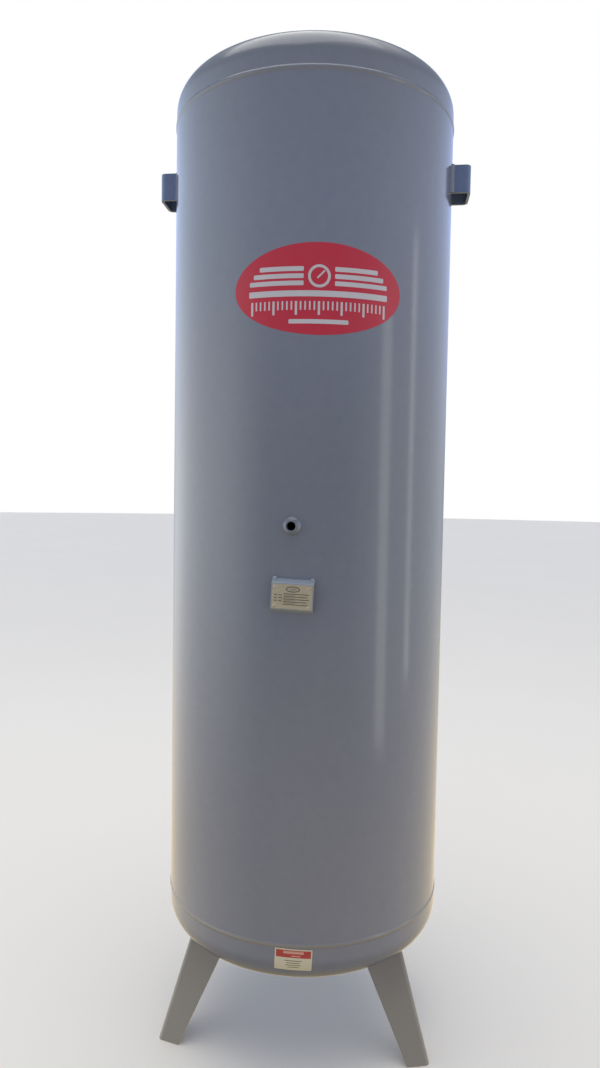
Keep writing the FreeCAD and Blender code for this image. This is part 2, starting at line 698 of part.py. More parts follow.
plate_blank = tilted_group("plate_blank", [boxed(
    "plate_sheet_blank", PLATE_WIDTH, "plate_sheet", PLATE_DEPTH, BRACKET_FACE)])
plate_holes = tilted_group("plate_holes", rivet_part(
    "plate_hole", "rivet_shank/2 + rivet_clear", SHANK_START, SHANK_LENGTH))
plate = cut("data_plate", plate_blank, [plate_holes])
node("nameplate", place(plate, "plate_angle", PLATE_HEIGHT))

shanks = rivet_part("rivet_shank", "rivet_shank/2", SHANK_START, SHANK_LENGTH)
heads = rivet_part("rivet_head", "rivet_head/2", PLATE_TOP, "rivet_head_rise")
tails = rivet_part("rivet_tail", "rivet_head/2", SHANK_START, "rivet_head_rise")
rivets = tilted_group("rivets", [fused("rivet_%d" % number, list(pieces))
                                 for number, pieces in enumerate(zip(shanks, heads, tails))])
node("nameplate_rivets", place(doc.addObject("Part::Compound", "rivet_set"),
                               "plate_angle", PLATE_HEIGHT)).Links = [rivets]

# Two tack welds hold the bracket's upper lip to the shell at its corners.
tacks = []
for number, across in enumerate((-1, 1)):
    tack = doc.addObject("Part::Sphere", "tack_%d" % number)
    bind(tack, Radius="tack_radius",
         Placement__Base__x="(bracket_width/2 - tack_radius)*(%d)" % across,
         Placement__Base__y="-%s" % RADIUS,
         Placement__Base__z="bracket_face/2 + bracket_lip")
    tacks.append(tack)
tack_tools = [tilted(padded("tack_bracket", "YZ_Plane", bracket_outline(), "bracket_width",
                            "-bracket_width/2")),
              cylinder("tack_core", RADIUS, "shell_diameter", "-%s" % RADIUS)]
# The space behind the lip is kept clear, so the tacks lie on the lip's outside only.
tack_tools.append(tilted_group("tack_behind", [boxed(
    "tack_behind_lip", "bracket_width", "bracket_standoff + shell_wall", "bracket_face + bracket_lip",
    "-%s + shell_wall" % RADIUS)]))
tack_welds = cut("tack_welds", tilted_group("tack_pair", tacks), tack_tools)
node("nameplate_bracket_welds", place(tack_welds, "plate_angle", PLATE_HEIGHT))

# ---------------------------------------------------------------- decal and label
# The oval decal is a film round the shell. The label is a film that covers the straight
# flange of the bottom end and turns under onto its knuckle.
decal_skin = cut("decal_skin", cylinder("decal_outside", "%s + film" % RADIUS, "shell_diameter",
                                        "-%s" % RADIUS),
                 [cylinder("decal_inside", RADIUS, "shell_diameter", "-%s" % RADIUS)])
decal_oval = doc.addObject("Part::Ellipse", "decal_oval")
bind(decal_oval, MajorRadius="%s*sin(decal_length/2/%s*180/pi)" % (RADIUS, RADIUS),
     MinorRadius="decal_depth/2")
decal_oval.Placement = FreeCAD.Placement(
    FreeCAD.Vector(), FreeCAD.Rotation(FreeCAD.Vector(1, 0, 0), 90))
decal_prism = doc.addObject("Part::Extrusion", "decal_prism")
decal_prism.Base = decal_oval
decal_prism.DirMode = "Custom"
decal_prism.Dir = FreeCAD.Vector(0, -1, 0)
decal_prism.Solid = True
bind(decal_prism, LengthFwd="shell_diameter")
decal = common("decal", [decal_skin, decal_prism])
node("oval_decal", place(decal, "decal_angle", "%s - decal_drop" % UPPER_SEAM))

LABEL_TURN = 50  # degrees of the knuckle that the label's blank follows
label_skin = turned("label_skin", [
    (RADIUS, "%s - bead_half" % LOWER_SEAM),
    (RADIUS, "%s - end_flange" % LOWER_SEAM),
    ("%s + knuckle_radius*cos(%d)" % (KNUCKLE_AT, LABEL_TURN),
     "%s - end_flange - knuckle_radius*sin(%d)" % (LOWER_SEAM, LABEL_TURN), "knuckle_radius", -1),
    ("%s + (knuckle_radius + film)*cos(%d)" % (KNUCKLE_AT, LABEL_TURN),
     "%s - end_flange - (knuckle_radius + film)*sin(%d)" % (LOWER_SEAM, LABEL_TURN)),
    ("%s + film" % RADIUS, "%s - end_flange" % LOWER_SEAM, "knuckle_radius + film", 1),
    ("%s + film" % RADIUS, "%s - bead_half" % LOWER_SEAM),
])
label_box = boxed("label_box", "label_width", "shell_diameter/2", "label_depth", "-%s/2" % RADIUS)
label_tool = doc.addObject("Part::Compound", "label_tool")
label_tool.Links = [label_box]
label_tool.Placement = FreeCAD.Placement(
    FreeCAD.Vector(), FreeCAD.Rotation(FreeCAD.Vector(0, 1, 0), value("label_tilt")))
bind(label_tool, Placement__Base__z="%s - label_drop" % LOWER_SEAM)
label = common("label", [label_skin, label_tool])
node("warning_label", place(label, "label_angle"))

# ---------------------------------------------------------------- check and write
doc.recompute()
for item in doc.Objects:
    if "Invalid" in item.State or "Error" in item.State:
        raise RuntimeError("%s failed: %s" % (item.Name, item.State))
for piece in NODES:
    if piece.Shape.isNull() or not piece.Shape.isValid() or not piece.Shape.Solids:
        raise RuntimeError("%s has no valid solid" % piece.Label)

os.makedirs("parts", exist_ok=True)
for piece in NODES:
    piece.Shape.exportStep("parts/%s.step" % piece.Label)
    print("%-26s %d solid %12.1f mm3" % (piece.Label, len(piece.Shape.Solids), piece.Shape.Volume))
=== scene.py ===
import json
import math

import bmesh
import bpy
from bpy.props import FloatProperty, FloatVectorProperty, PointerProperty
from mathutils import Matrix, Vector, noise
from mathutils.bvhtree import BVHTree


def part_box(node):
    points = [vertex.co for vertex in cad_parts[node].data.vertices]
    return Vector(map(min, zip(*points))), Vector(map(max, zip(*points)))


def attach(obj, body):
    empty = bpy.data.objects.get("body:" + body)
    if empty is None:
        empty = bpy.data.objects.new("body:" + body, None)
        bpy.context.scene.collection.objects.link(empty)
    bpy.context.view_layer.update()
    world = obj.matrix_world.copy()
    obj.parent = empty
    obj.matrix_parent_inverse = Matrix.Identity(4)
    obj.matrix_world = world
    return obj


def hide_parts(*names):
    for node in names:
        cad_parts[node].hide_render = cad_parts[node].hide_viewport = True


bl_info = {
    "name": "Compressed-air receiver",
    "version": (1, 0, 0),
    "blender": (4, 5, 0),
    "location": "3D View > Sidebar > Receiver",
    "description": "Builds the finished look of an upright compressed-air receiver on its frame",
    "category": "Object",
}

# ------------------------------------------------------------------ the frame
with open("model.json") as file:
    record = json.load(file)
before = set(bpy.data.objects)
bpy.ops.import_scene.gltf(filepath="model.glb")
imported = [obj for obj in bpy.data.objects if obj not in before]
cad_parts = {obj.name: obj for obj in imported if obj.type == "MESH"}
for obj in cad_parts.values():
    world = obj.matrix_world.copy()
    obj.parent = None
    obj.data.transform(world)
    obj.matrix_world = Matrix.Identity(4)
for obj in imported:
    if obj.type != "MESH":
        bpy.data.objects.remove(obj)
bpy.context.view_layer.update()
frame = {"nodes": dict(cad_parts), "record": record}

MM = 0.001
SHELL_LOW, SHELL_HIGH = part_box("shell_plate")
RADIUS = SHELL_HIGH.x
LOWER_SEAM = SHELL_LOW.z
UPPER_SEAM = SHELL_HIGH.z
SEAM_TURN = math.radians(205)  # where the lengthwise weld runs, from the front
LEG_TURNS = {"front_left": -60.0, "front_right": 60.0, "rear": 180.0}
BURIED = 0.2 * MM  # how deep a bead's toe lies under the surface that it is laid on
ARC_STEP = 7.5  # degrees of an arc between two points of an outline
MIDDLE = (0.3, 0.7)  # the middle range of a noise, which a pattern's effect is spread over


def colour(code):
    """The linear colour of an sRGB hex code."""
    channels = [int(code[at:at + 2], 16) / 255 for at in (1, 3, 5)]
    linear = [c / 12.92 if c <= 0.04045 else ((c + 0.055) / 1.055) ** 2.4 for c in channels]
    return (*linear, 1.0)


# ------------------------------------------------------------------ what a user can change
def length(name, description, default):
    return FloatProperty(name=name, description=description, default=default, min=0.0,
                         unit="LENGTH", precision=4)


def angle(name, description, default):
    return FloatProperty(name=name, description=description, default=math.radians(default),
                         subtype="ANGLE", unit="ROTATION")


def paint(name, description, code):
    return FloatVectorProperty(name=name, description=description, default=colour(code), size=4,
                               min=0.0, max=1.0, subtype="COLOR")


class ReceiverPlateWork(bpy.types.PropertyGroup):
    """Sizes of the plates and sockets."""

    wall: length("Vessel wall", "Thickness of the shell and the dished ends", 5 * MM)
    end_flange: length("Straight flange", "Straight part of a dished end", 28 * MM)
    knuckle: length("Knuckle radius", "Outside radius where an end turns in", 60 * MM)
    crown: length("Crown radius", "Outside radius of an end's dish", 600 * MM)
    edge: length("Edge rounding", "How far cut edges are broken", 0.8 * MM)
    lug_sheet: length("Lug plate", "Thickness of a lifting lug", 6 * MM)
    lug_bend: length("Lug bend", "Outside bend radius of a lifting lug", 12 * MM)
    leg_sheet: length("Leg plate", "Thickness of a leg", 6 * MM)
    leg_bend: length("Leg bend", "Outside bend radius of a leg's fold", 10 * MM)
    leg_foot: length("Leg width at the floor", "Flange width at the floor", 50 * MM)
    leg_head: length("Leg width at the head", "Flange width at the top of the leg's blank", 92 * MM)
    leg_drop: length("Leg head", "Lower seam to the top of the leg's blank", 70 * MM)
    leg_splay: angle("Leg splay", "Lean of a leg's fold away from upright", 18)
    drill_clear: length("Drilled hole", "Radius of a drilled hole beyond its bore", 1.5 * MM)
    inspection_bore: length("Inspection bore", "Bore of the inspection socket", 56.8 * MM)
    plug_flats: length("Plug flats", "Across flats of the inspection plug", 64 * MM)
    plug_head: length("Plug head", "Height of the inspection plug's head", 14 * MM)


class ReceiverWelds(bpy.types.PropertyGroup):
    """Sizes of the weld beads."""

    half_width: length("Bead half width", "Half the width of a butt weld's bead", 5 * MM)
    girth_rise: length("Girth bead", "Height of a girth weld's bead", 2.0 * MM)
    long_rise: length("Lengthwise bead", "Height of the lengthwise weld's bead", 1.4 * MM)
    socket_leg: length("Socket fillet", "Leg of a socket's fillet weld", 7 * MM)
    lug_leg: length("Lug fillet", "Leg of a lug's fillet weld", 6 * MM)
    leg_leg: length("Leg fillet", "Leg of a leg's fillet weld", 5 * MM)
    pitch: length("Ripple pitch", "Distance from one frozen ripple to the next", 4.6 * MM)
    ripple: length("Ripple height", "Height of a ripple under the paint", 0.12 * MM)


class ReceiverPlates(bpy.types.PropertyGroup):
    """Sizes of the data plate, the decal and the label."""

    plate_width: length("Plate width", "Width of the data plate", 76 * MM)
    plate_height: length("Plate height", "Height of the data plate", 46 * MM)
    plate_sheet: length("Plate sheet", "Thickness of the data plate", 0.8 * MM)
    bracket_width: length("Bracket width", "Width of the bracket", 80 * MM)
    bracket_face: length("Bracket face", "Height of the bracket's flat face", 50 * MM)
    bracket_sheet: length("Bracket sheet", "Thickness of the bracket", 2 * MM)
    bracket_lip: length("Bracket lip", "Rise of the sloping lips back to the shell", 6.5 * MM)
    plate_turn: angle("Plate place", "Where the data plate sits, from the front", 0.7)
    plate_tilt: angle("Plate tilt", "The bracket is welded on a little crooked", 2.5)
    decal_turn: angle("Decal place", "Where the oval decal sits, from the front", 8.3)
    decal_length: length("Decal length", "Length of the oval decal round the shell", 329 * MM)
    label_turn: angle("Label place", "Where the label sits, from the front", 3.0)
    label_tilt: angle("Label tilt", "The label is stuck on a little crooked", 2.0)
    label_width: length("Label width", "Width of the label", 73 * MM)
    label_height: length("Label height", "Height of the label", 44 * MM)
    label_drop: length("Label drop", "Lower seam to the label's centre", 28 * MM)
    film: length("Film", "Thickness of the decal and the label", 0.25 * MM)


class ReceiverColours(bpy.types.PropertyGroup):
    """Colours of the finishes."""

    enamel: paint("Vessel enamel", "Blue-grey gloss enamel of the vessel", "#676d78")
    enamel_thin: paint("Thin enamel", "The same enamel where it was sprayed thinner", "#6c707a")
    # Painted reflection: the lug enamel is bluer than the vessel's, to paint in the blue sky that the lugs
    # reflect.
    lug_enamel: paint("Lug enamel", "Fresher, bluer coat on the lifting lugs", "#5a6985")
    bracket: paint("Bracket enamel", "Pale, thinly coated bracket of the data plate", "#868e96")
    leg_enamel: paint("Leg enamel", "Satin grey enamel of the legs", "#7f7a70")
    # Painted shade: a darker copy of the leg enamel for the legs' upper parts, under the bottom end.
    leg_painted_shade: paint("Leg dust", "Overspray and dust on the legs", "#6d6860")
    # Painted shade: the thread steel is made nearly black so that the socket bores read dark.
    thread_steel: paint("Thread steel", "Oiled steel inside a socket", "#3a3d42")
    aluminium: paint("Plate aluminium", "Etched aluminium of the data plate", "#b0a893")
    plate_ink: paint("Plate ink", "Dark fill of the data plate's marks", "#4b4638")
    rivet: paint("Rivet aluminium", "Bright aluminium of the rivets", "#b9b4a6")
    plug_zinc: paint("Plug zinc", "Zinc plating of the inspection plug", "#aaaaa6")
    decal_red: paint("Decal red", "Red vinyl of the decal", "#ae1828")
    decal_white: paint("Decal white", "White ink of the decal", "#b6b5b7")
    label_cream: paint("Label film", "Pale film of the label", "#bfb89f")
    label_red: paint("Label red", "Red band of the label", "#9c2e2a")
    label_pale: paint("Label band mark", "Pale mark on the label's band", "#c48e80")
    label_ink: paint("Label ink", "Ink of the label's lines", "#5c573f")
    floor: paint("Studio floor", "Pale painted studio floor", "#f2ece0")


class ReceiverStudio(bpy.types.PropertyGroup):
    """Where the camera stands."""

    distance: length("Camera distance", "From the tank's axis to the lens", 1.7468)
    rise: length("Camera height", "Lens above the lower girth seam", 0.8726)
    turn: angle("Camera place", "Where the camera stands, from the front", 5.84)
    pitch: angle("Camera pitch", "How far the camera looks down", 2.99)
    yaw: angle("Camera yaw", "How far the camera looks to the left", 0.60)
    roll: angle("Camera roll", "How far the camera leans", 0.945)
    lens: FloatProperty(
        name="Lens", description="Focal length in millimetres", default=26.04, unit="CAMERA")


def sizes():
    return bpy.context.scene.receiver_plate_work


def welds():
    return bpy.context.scene.receiver_welds


def plates():
    return bpy.context.scene.receiver_plates


def tints():
    return bpy.context.scene.receiver_colours


# ------------------------------------------------------------------ materials
def add_node(tree, kind, sockets=None, **settings):
    """Adds a node with its settings. Each socket is given a value, or another node's output."""
    node = tree.nodes.new(kind)
    for name, setting in settings.items():
        setattr(node, name, setting)
    for name, given in (sockets or {}).items():
        if isinstance(given, bpy.types.NodeSocket):
            tree.links.new(given, node.inputs[name])
        else:
            node.inputs[name].default_value = given
    return node


def coat(name, base, patterns, tones, gloss, relief, **surface):
    """Makes a finish whose colour and gloss drift between tones, over a fine relief.

    patterns: by name, a noise's lump size, detail and roughness, and its stretch if it has one.
    tones: laid over the base one after another. Each has its pattern, least and most share, and
    colour, and one that fades with height ends with where it is none and where it is whole.
    gloss: one roughness, or a pattern with its least and most roughness.
    relief: patterns with their real depths, the coarsest first.
    """
    material = bpy.data.materials.new(name)
    material.use_nodes = True
    tree = material.node_tree
    tree.nodes.clear()
    where = add_node(tree, "ShaderNodeTexCoord").outputs["Object"]
    cloud = {}
    for pattern, (size, detail, roughness, *stretch) in patterns.items():
        scaled = add_node(tree, "ShaderNodeMapping", {
            "Vector": where, "Scale": stretch or (1.0, 1.0, 1.0)})
        cloud[pattern] = add_node(tree, "ShaderNodeTexNoise", {
            "Vector": scaled.outputs[0], "Scale": 1 / size, "Detail": detail,
            "Roughness": roughness}).outputs[0]
    for pattern, least, most, tone, *heights in tones:
        share = add_node(tree, "ShaderNodeMapRange", {
            "Value": cloud[pattern], "From Min": MIDDLE[0], "From Max": MIDDLE[1],
            "To Min": least, "To Max": most}).outputs[0]
        if heights:
            height = add_node(tree, "ShaderNodeSeparateXYZ", {"Vector": where}).outputs["Z"]
            fade = add_node(tree, "ShaderNodeMapRange", {
                "Value": height, "From Min": heights[0], "From Max": heights[1]}).outputs[0]
            share = add_node(tree, "ShaderNodeMath", {0: share, 1: fade},
                             operation="MULTIPLY").outputs[0]
        base = add_node(tree, "ShaderNodeMix", {0: share, 6: base, 7: tone},
                        data_type="RGBA").outputs[2]
    if isinstance(gloss, tuple):
        pattern, least, most = gloss
        gloss = add_node(tree, "ShaderNodeMapRange", {
            "Value": cloud[pattern], "From Min": MIDDLE[0], "From Max": MIDDLE[1],
            "To Min": least, "To Max": most}).outputs[0]
    sockets = {"Base Color": base, "Roughness": gloss, **surface}
    for pattern, depth in relief:
        bump = {"Height": cloud[pattern], "Distance": depth, "Strength": 1.0}
        if "Normal" in sockets:
            bump["Normal"] = sockets["Normal"]
        sockets["Normal"] = add_node(tree, "ShaderNodeBump", bump).outputs[0]
    shader = add_node(tree, "ShaderNodeBsdfPrincipled", sockets)
    add_node(tree, "ShaderNodeOutputMaterial", {"Surface": shader.outputs[0]})
    return material


def vessel_enamel():
    """Gloss two-pack enamel, sprayed.

    The eye sees orange peel close to, and reflections drawn out by the rolled plate's waves.
    """
    return coat(
        "sprayed_gloss_enamel", tints().enamel,
        {"cloud": (0.30, 3.0, 0.5, 1.0, 1.0, 0.4), "mist": (0.02, 4.0, 0.6),
         "polish": (0.12, 4.0, 0.5), "waves": (0.16, 1.0, 0.5, 1.0, 1.0, 0.16),
         "streaks": (0.045, 1.0, 0.5, 1.0, 1.0, 0.05), "peel": (3.5 * MM, 2.0, 0.5)},
        [("cloud", 0.0, 1.0, tints().enamel_thin), ("mist", 0.0, 0.05, colour("#9a9ea4"))],
        ("polish", 0.13, 0.17),
        [("waves", 1.6 * MM), ("streaks", 0.2 * MM), ("peel", 0.012 * MM)], IOR=1.5)


def weld_enamel():
    """The same enamel over a weld: duller, with pits under it, lighter in patches as a painted highlight
    on the beads, and dusty low on the tank.
    """
    return coat(
        "enamel_over_weld", tints().enamel,
        {"mist": (12.0 * MM, 4.0, 0.6), "pits": (1.6 * MM, 3.0, 0.6)},
        # the lighter tone, in patches, is a painted highlight on the beads; the warm tone low down is dust
        [("mist", 0.1, 0.6, colour("#71767e")), ("mist", 0.6, 0.6, colour("#857d6b"), 0.45, 0.30)],
        ("mist", 0.18, 0.26), [("pits", 0.015 * MM)], IOR=1.5)


def fitting_enamel():
    """Gloss enamel on small parts: a finer orange peel, and a bluer, thicker coat in patches, which also
    paints in the sky's blue reflection.
    """
    return coat(
        "enamel_on_fittings", tints().enamel,
        {"mist": (15.0 * MM, 3.0, 0.5), "peel": (2.2 * MM, 2.0, 0.5)},
        # bluer patches: a thicker coat, and partly a painted reflection of the sky on the fittings
        [("mist", 0.0, 0.3, colour("#6a7a92"))],
        ("mist", 0.18, 0.26), [("peel", 0.012 * MM)], IOR=1.5)


def lug_enamel():
    """The enamel on the lugs, bluer than the vessel's: a painted reflection of the blue sky on them."""
    return coat(
        "lug_enamel_painted_sky_blue", tints().lug_enamel,
        {"mist": (20.0 * MM, 3.0, 0.5), "peel": (2.2 * MM, 2.0, 0.5)},
        # darker, bluer patches: more of the painted sky reflection on the lugs
        [("mist", 0.0, 0.5, colour("#4f6184"))],
        ("mist", 0.2, 0.3), [("peel", 0.012 * MM)], IOR=1.5)


def bracket_enamel():
    """Grey primer thinly brushed over with the enamel: satin, with faint brush marks."""
    return coat(
        "thin_bracket_enamel", tints().bracket,
        {"brushed": (5.0 * MM, 3.0, 0.6, 0.3, 1.0, 1.0)},
        [("brushed", 0.0, 0.35, colour("#77818c"))],
        ("brushed", 0.28, 0.38), [("brushed", 0.02 * MM)], IOR=1.5)


def leg_enamel():
    """Satin grey enamel, thinly sprayed over mill scale: darker towards the vessel, a painted shade under
    the bottom end.
    """
    return coat(
        "satin_leg_enamel", tints().leg_enamel,
        {"cloud": (0.06, 4.0, 0.6), "scale": (5.0 * MM, 4.0, 0.6)},
        # painted shade in patches, fading in from a height of 0.10 to 0.24, under the bottom end
        [("cloud", 0.15, 0.75, tints().leg_painted_shade, 0.10, 0.24)],
        ("cloud", 0.36, 0.5), [("scale", 0.03 * MM)], IOR=1.5)


def thread_steel():
    """Cut pipe thread, oiled, and nearly black with duller near-black patches: partly oiled steel and
    dirt, partly painted shade inside the bore.
    """
    return coat(
        "oiled_thread_steel_and_painted_shade", tints().thread_steel,
        {"grime_and_painted_shade": (4.0 * MM, 4.0, 0.6)},
        # near-black patches: part dirt, part painted shade inside the bore
        [("grime_and_painted_shade", 0.0, 1.0, colour("#1d1b18"))],
        ("grime_and_painted_shade", 0.35, 0.6), [("grime_and_painted_shade", 0.02 * MM)], Metallic=0.8)


def plate_aluminium():
    """Etched aluminium sheet: fine grain along it, under a lacquer that has yellowed."""
    return coat(
        "etched_aluminium", tints().aluminium,
        {"grain": (0.6 * MM, 3.0, 0.6, 0.06, 1.0, 1.0), "stain": (14.0 * MM, 4.0, 0.6)},
        [("grain", 0.0, 0.35, colour("#8d846f")), ("stain", 0.0, 0.3, colour("#9a8f74"))],
        ("grain", 0.38, 0.5), [("grain", 0.008 * MM)], Metallic=0.55)


def ink(name, tint):
    """Printed ink: matt, with slightly uneven cover."""
    return coat(
        name, tint, {"print": (1.2 * MM, 3.0, 0.6)},
        [("print", 0.0, 0.25, colour("#8f8a7c"))], 0.55, [("print", 0.01 * MM)], IOR=1.48)


def metal(name, tint, worn, grain, rough):
    """Drawn or plated metal: fine grain, dulled where it was handled."""
    return coat(
        name, tint, {"grain": (grain, 4.0, 0.6), "stain": (12.0 * MM, 3.0, 0.5)},
        [("stain", 0.0, 0.6, worn)],
        ("grain", rough - 0.06, rough + 0.08), [("grain", 0.015 * MM)], Metallic=1.0)


def vinyl(name, tint, faded):
    """Self-adhesive film, cast: smooth and glossy, faintly wavy, faded in patches."""
    return coat(
        name, tint, {"fade": (50.0 * MM, 3.0, 0.5), "ripple": (6.0 * MM, 2.0, 0.5)},
        [("fade", 0.0, 0.5, faded)], ("fade", 0.28, 0.38), [("ripple", 0.012 * MM)], IOR=1.46)


def floor_paint():
    """Matt studio floor paint, rolled: a faint roller texture."""
    return coat(
        "matt_floor_paint", tints().floor, {"patch": (1.5, 2.0, 0.5), "roller": (6.0 * MM, 2.0, 0.5)},
        [("patch", 0.0, 0.4, colour("#ede7da"))], 0.7, [("roller", 0.02 * MM)], IOR=1.45)


FINISHES = {}


def finish(name):
    """A finish by name, made once."""
    makers = {
        "vessel": vessel_enamel,
        "weld": weld_enamel,
        "fitting": fitting_enamel,
        "lug": lug_enamel,
        "bracket": bracket_enamel,
        "leg": leg_enamel,
        "thread": thread_steel,
        "aluminium": plate_aluminium,
        "plate_ink": lambda: ink("plate_ink", tints().plate_ink),
        "rivet": lambda: metal("drawn_aluminium", tints().rivet, colour("#8f8a7d"), 0.8 * MM, 0.34),
        "plug": lambda: metal("zinc_plated_steel", tints().plug_zinc, colour("#8d8a80"), 1.5 * MM, 0.36),
        "decal_red": lambda: vinyl("red_vinyl", tints().decal_red, colour("#a92c39")),
        "decal_white": lambda: vinyl("white_vinyl_ink", tints().decal_white, colour("#aaa9ac")),
        "label": lambda: vinyl("label_film", tints().label_cream, colour("#b3aa90")),
        "label_red": lambda: vinyl("label_red_ink", tints().label_red, colour("#a8463e")),
        "label_pale": lambda: vinyl("label_pale_ink", tints().label_pale, colour("#b98376")),
        "label_ink": lambda: ink("label_ink", tints().label_ink),
        "floor": floor_paint,
    }
    if name not in FINISHES:
        FINISHES[name] = makers[name]()
    return FINISHES[name]


# ------------------------------------------------------------------ drawing and shaping
def tidy(bm):
    """Merges what touches and points every face outwards."""
    bmesh.ops.remove_doubles(bm, verts=bm.verts[:], dist=0.002 * MM)
    bmesh.ops.recalc_face_normals(bm, faces=bm.faces[:])


def draw(bm, start, strokes, closed=False):
    """Draws an outline in the XZ plane.

    A stroke is a corner (x, z), or an arc (x, z, turn): its centre, and the degrees that it
    turns, clockwise seen from the front.
    """
    first = tip = bm.verts.new((start[0], 0, start[1]))
    for stroke in strokes:
        if len(stroke) == 2:
            tip = bmesh.ops.extrude_vert_indiv(bm, verts=[tip])["verts"][0]
            tip.co = (stroke[0], 0, stroke[1])
        else:
            swept = bmesh.ops.spin(bm, geom=[tip], cent=(stroke[0], 0, stroke[1]), axis=(0, 1, 0),
                                   angle=math.radians(stroke[2]),
                                   steps=math.ceil(abs(stroke[2]) / ARC_STEP))
            tip = swept["geom_last"][0]
    if closed:
        bm.edges.new((tip, first))
    bmesh.ops.remove_doubles(bm, verts=bm.verts[:], dist=0.002 * MM)


def rounded(corners, radius):
    """The strokes from the first of these corners to the last, with the others rounded."""
    strokes = []
    for before, corner, after in zip(corners, corners[1:], corners[2:]):
        corner = Vector(corner)
        back = (Vector(before) - corner).normalized()
        ahead = (Vector(after) - corner).normalized()
        half = back.angle(ahead) / 2
        centre = corner + (back + ahead).normalized() * radius / math.sin(half)
        side = 1 if back.x * ahead.y - back.y * ahead.x > 0 else -1
        strokes.append(tuple(corner + back * radius / math.tan(half)))
        strokes.append((centre.x, centre.y, side * math.degrees(math.pi - 2 * half)))
    return strokes + [tuple(corners[-1])]


def lathe(bm, steps):
    """Turns an outline about the Z axis."""
    bmesh.ops.spin(bm, geom=bm.verts[:] + bm.edges[:], cent=(0, 0, 0), axis=(0, 0, 1),
                   angle=math.tau, steps=steps, use_merge=True)
    tidy(bm)


def cross_cut(bm, axis, step):
    """Cuts a piece across at every step along an axis, so that it can be bent."""
    places = [vert.co[axis] for vert in bm.verts]
    normal = [0.0, 0.0, 0.0]
    normal[axis] = 1.0
    for number in range(math.ceil(min(places) / step), math.floor(max(places) / step) + 1):
        bmesh.ops.bisect_plane(bm, geom=bm.verts[:] + bm.edges[:] + bm.faces[:], dist=1e-7,
                               plane_co=[part * number * step for part in normal], plane_no=normal)


def roll(bm, turn=0.0, height=0.0):
    """Rolls a flat piece round the tank: X runs round it, Z up it and -Y out of it."""
    for vert in bm.verts:
        where = vert.co.x / RADIUS + turn
        reach = RADIUS - vert.co.y
        vert.co = (reach * math.sin(where), -reach * math.cos(where), vert.co.z + height)


def standing(spot, out, up=Vector((0, 0, 1))):
    """The matrix that stands a piece drawn along +Z on a spot, pointing out."""
    if abs(out.dot(up)) > 0.9:
        up = Vector((0, out.z, 0))
    across = up.cross(out)
    return Matrix.Translation(spot) @ Matrix((across, up, out)).transposed().to_4x4()


def shift(bm, matrix):
    bmesh.ops.transform(bm, matrix=matrix, verts=bm.verts[:])


def add_to(bm, part):
    """Joins another piece of mesh, and frees it."""
    spare = bpy.data.meshes.new("spare")
    part.to_mesh(spare)
    part.free()
    bm.from_mesh(spare)
    bpy.data.meshes.remove(spare)


def put(bm, name, finishes, stands_for=(), sharp=40, rounding=0.0):
    """Makes the finished piece: its materials, shading, rounded edges and place on the frame."""
    mesh = bpy.data.meshes.new(name)
    bm.to_mesh(mesh)
    bm.free()
    mesh.shade_smooth()
    mesh.set_sharp_from_angle(angle=math.radians(sharp))
    piece = bpy.data.objects.new(name, mesh)
    bpy.context.scene.collection.objects.link(piece)
    for item in finishes:
        mesh.materials.append(finish(item))
    if rounding:
        bevel = piece.modifiers.new("Rounded edges", "BEVEL")
        bevel.width = rounding
        bevel.segments = 3
        bevel.limit_method = "ANGLE"
        bevel.angle_limit = math.radians(40)
        bevel.harden_normals = True
    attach(piece, "root")
    if stands_for:
        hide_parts(*stands_for)
    return piece


# ------------------------------------------------------------------ the vessel's surfaces
def end_outline(bm, hole):
    """A dished end's outside: from its hole at the top of the crown out to its seam at z = 0."""
    size = sizes()
    inner = size.crown - size.knuckle
    knuckle_at = RADIUS - size.knuckle
    back = math.sqrt(inner**2 - knuckle_at**2)
    lean = math.degrees(math.asin(knuckle_at / inner))
    crown_z = size.end_flange - back
    start = math.degrees(math.asin(hole / size.crown))
    steps = 5  # the crown is drawn in a few arcs, to keep its points close together
    first = (hole, crown_z + math.sqrt(size.crown**2 - hole**2))
    strokes = [(0, crown_z, (lean - start) / steps)] * steps
    strokes.append((knuckle_at, size.end_flange, (90 - lean) / 2))
    strokes.append((knuckle_at, size.end_flange, (90 - lean) / 2))
    draw(bm, first, strokes + [(RADIUS, 0)])


def crown_height():
    """Height of a dished end's crown above its seam."""
    size = sizes()
    back = math.sqrt((size.crown - size.knuckle) ** 2 - (RADIUS - size.knuckle) ** 2)
    return size.end_flange - back + size.crown


def crown_fall(x, y):
    """How far the crown's surface falls away from its middle."""
    crown = sizes().crown
    return crown - math.sqrt(crown**2 - x * x - y * y)


def shell_fall(x, y):
    """How far the shell's surface falls away to the side of a socket."""
    return RADIUS - math.sqrt(RADIUS**2 - x * x)


SOCKETS = {
    # pipe thread pitch of each socket
    "gauge_socket": 1.337 * MM,
    "inlet_socket": 2.309 * MM,
    "outlet_socket": 2.309 * MM,
    "inspection_socket": 2.309 * MM,
    "safety_valve_socket": 1.814 * MM,
    "drain_socket": 1.814 * MM,
}


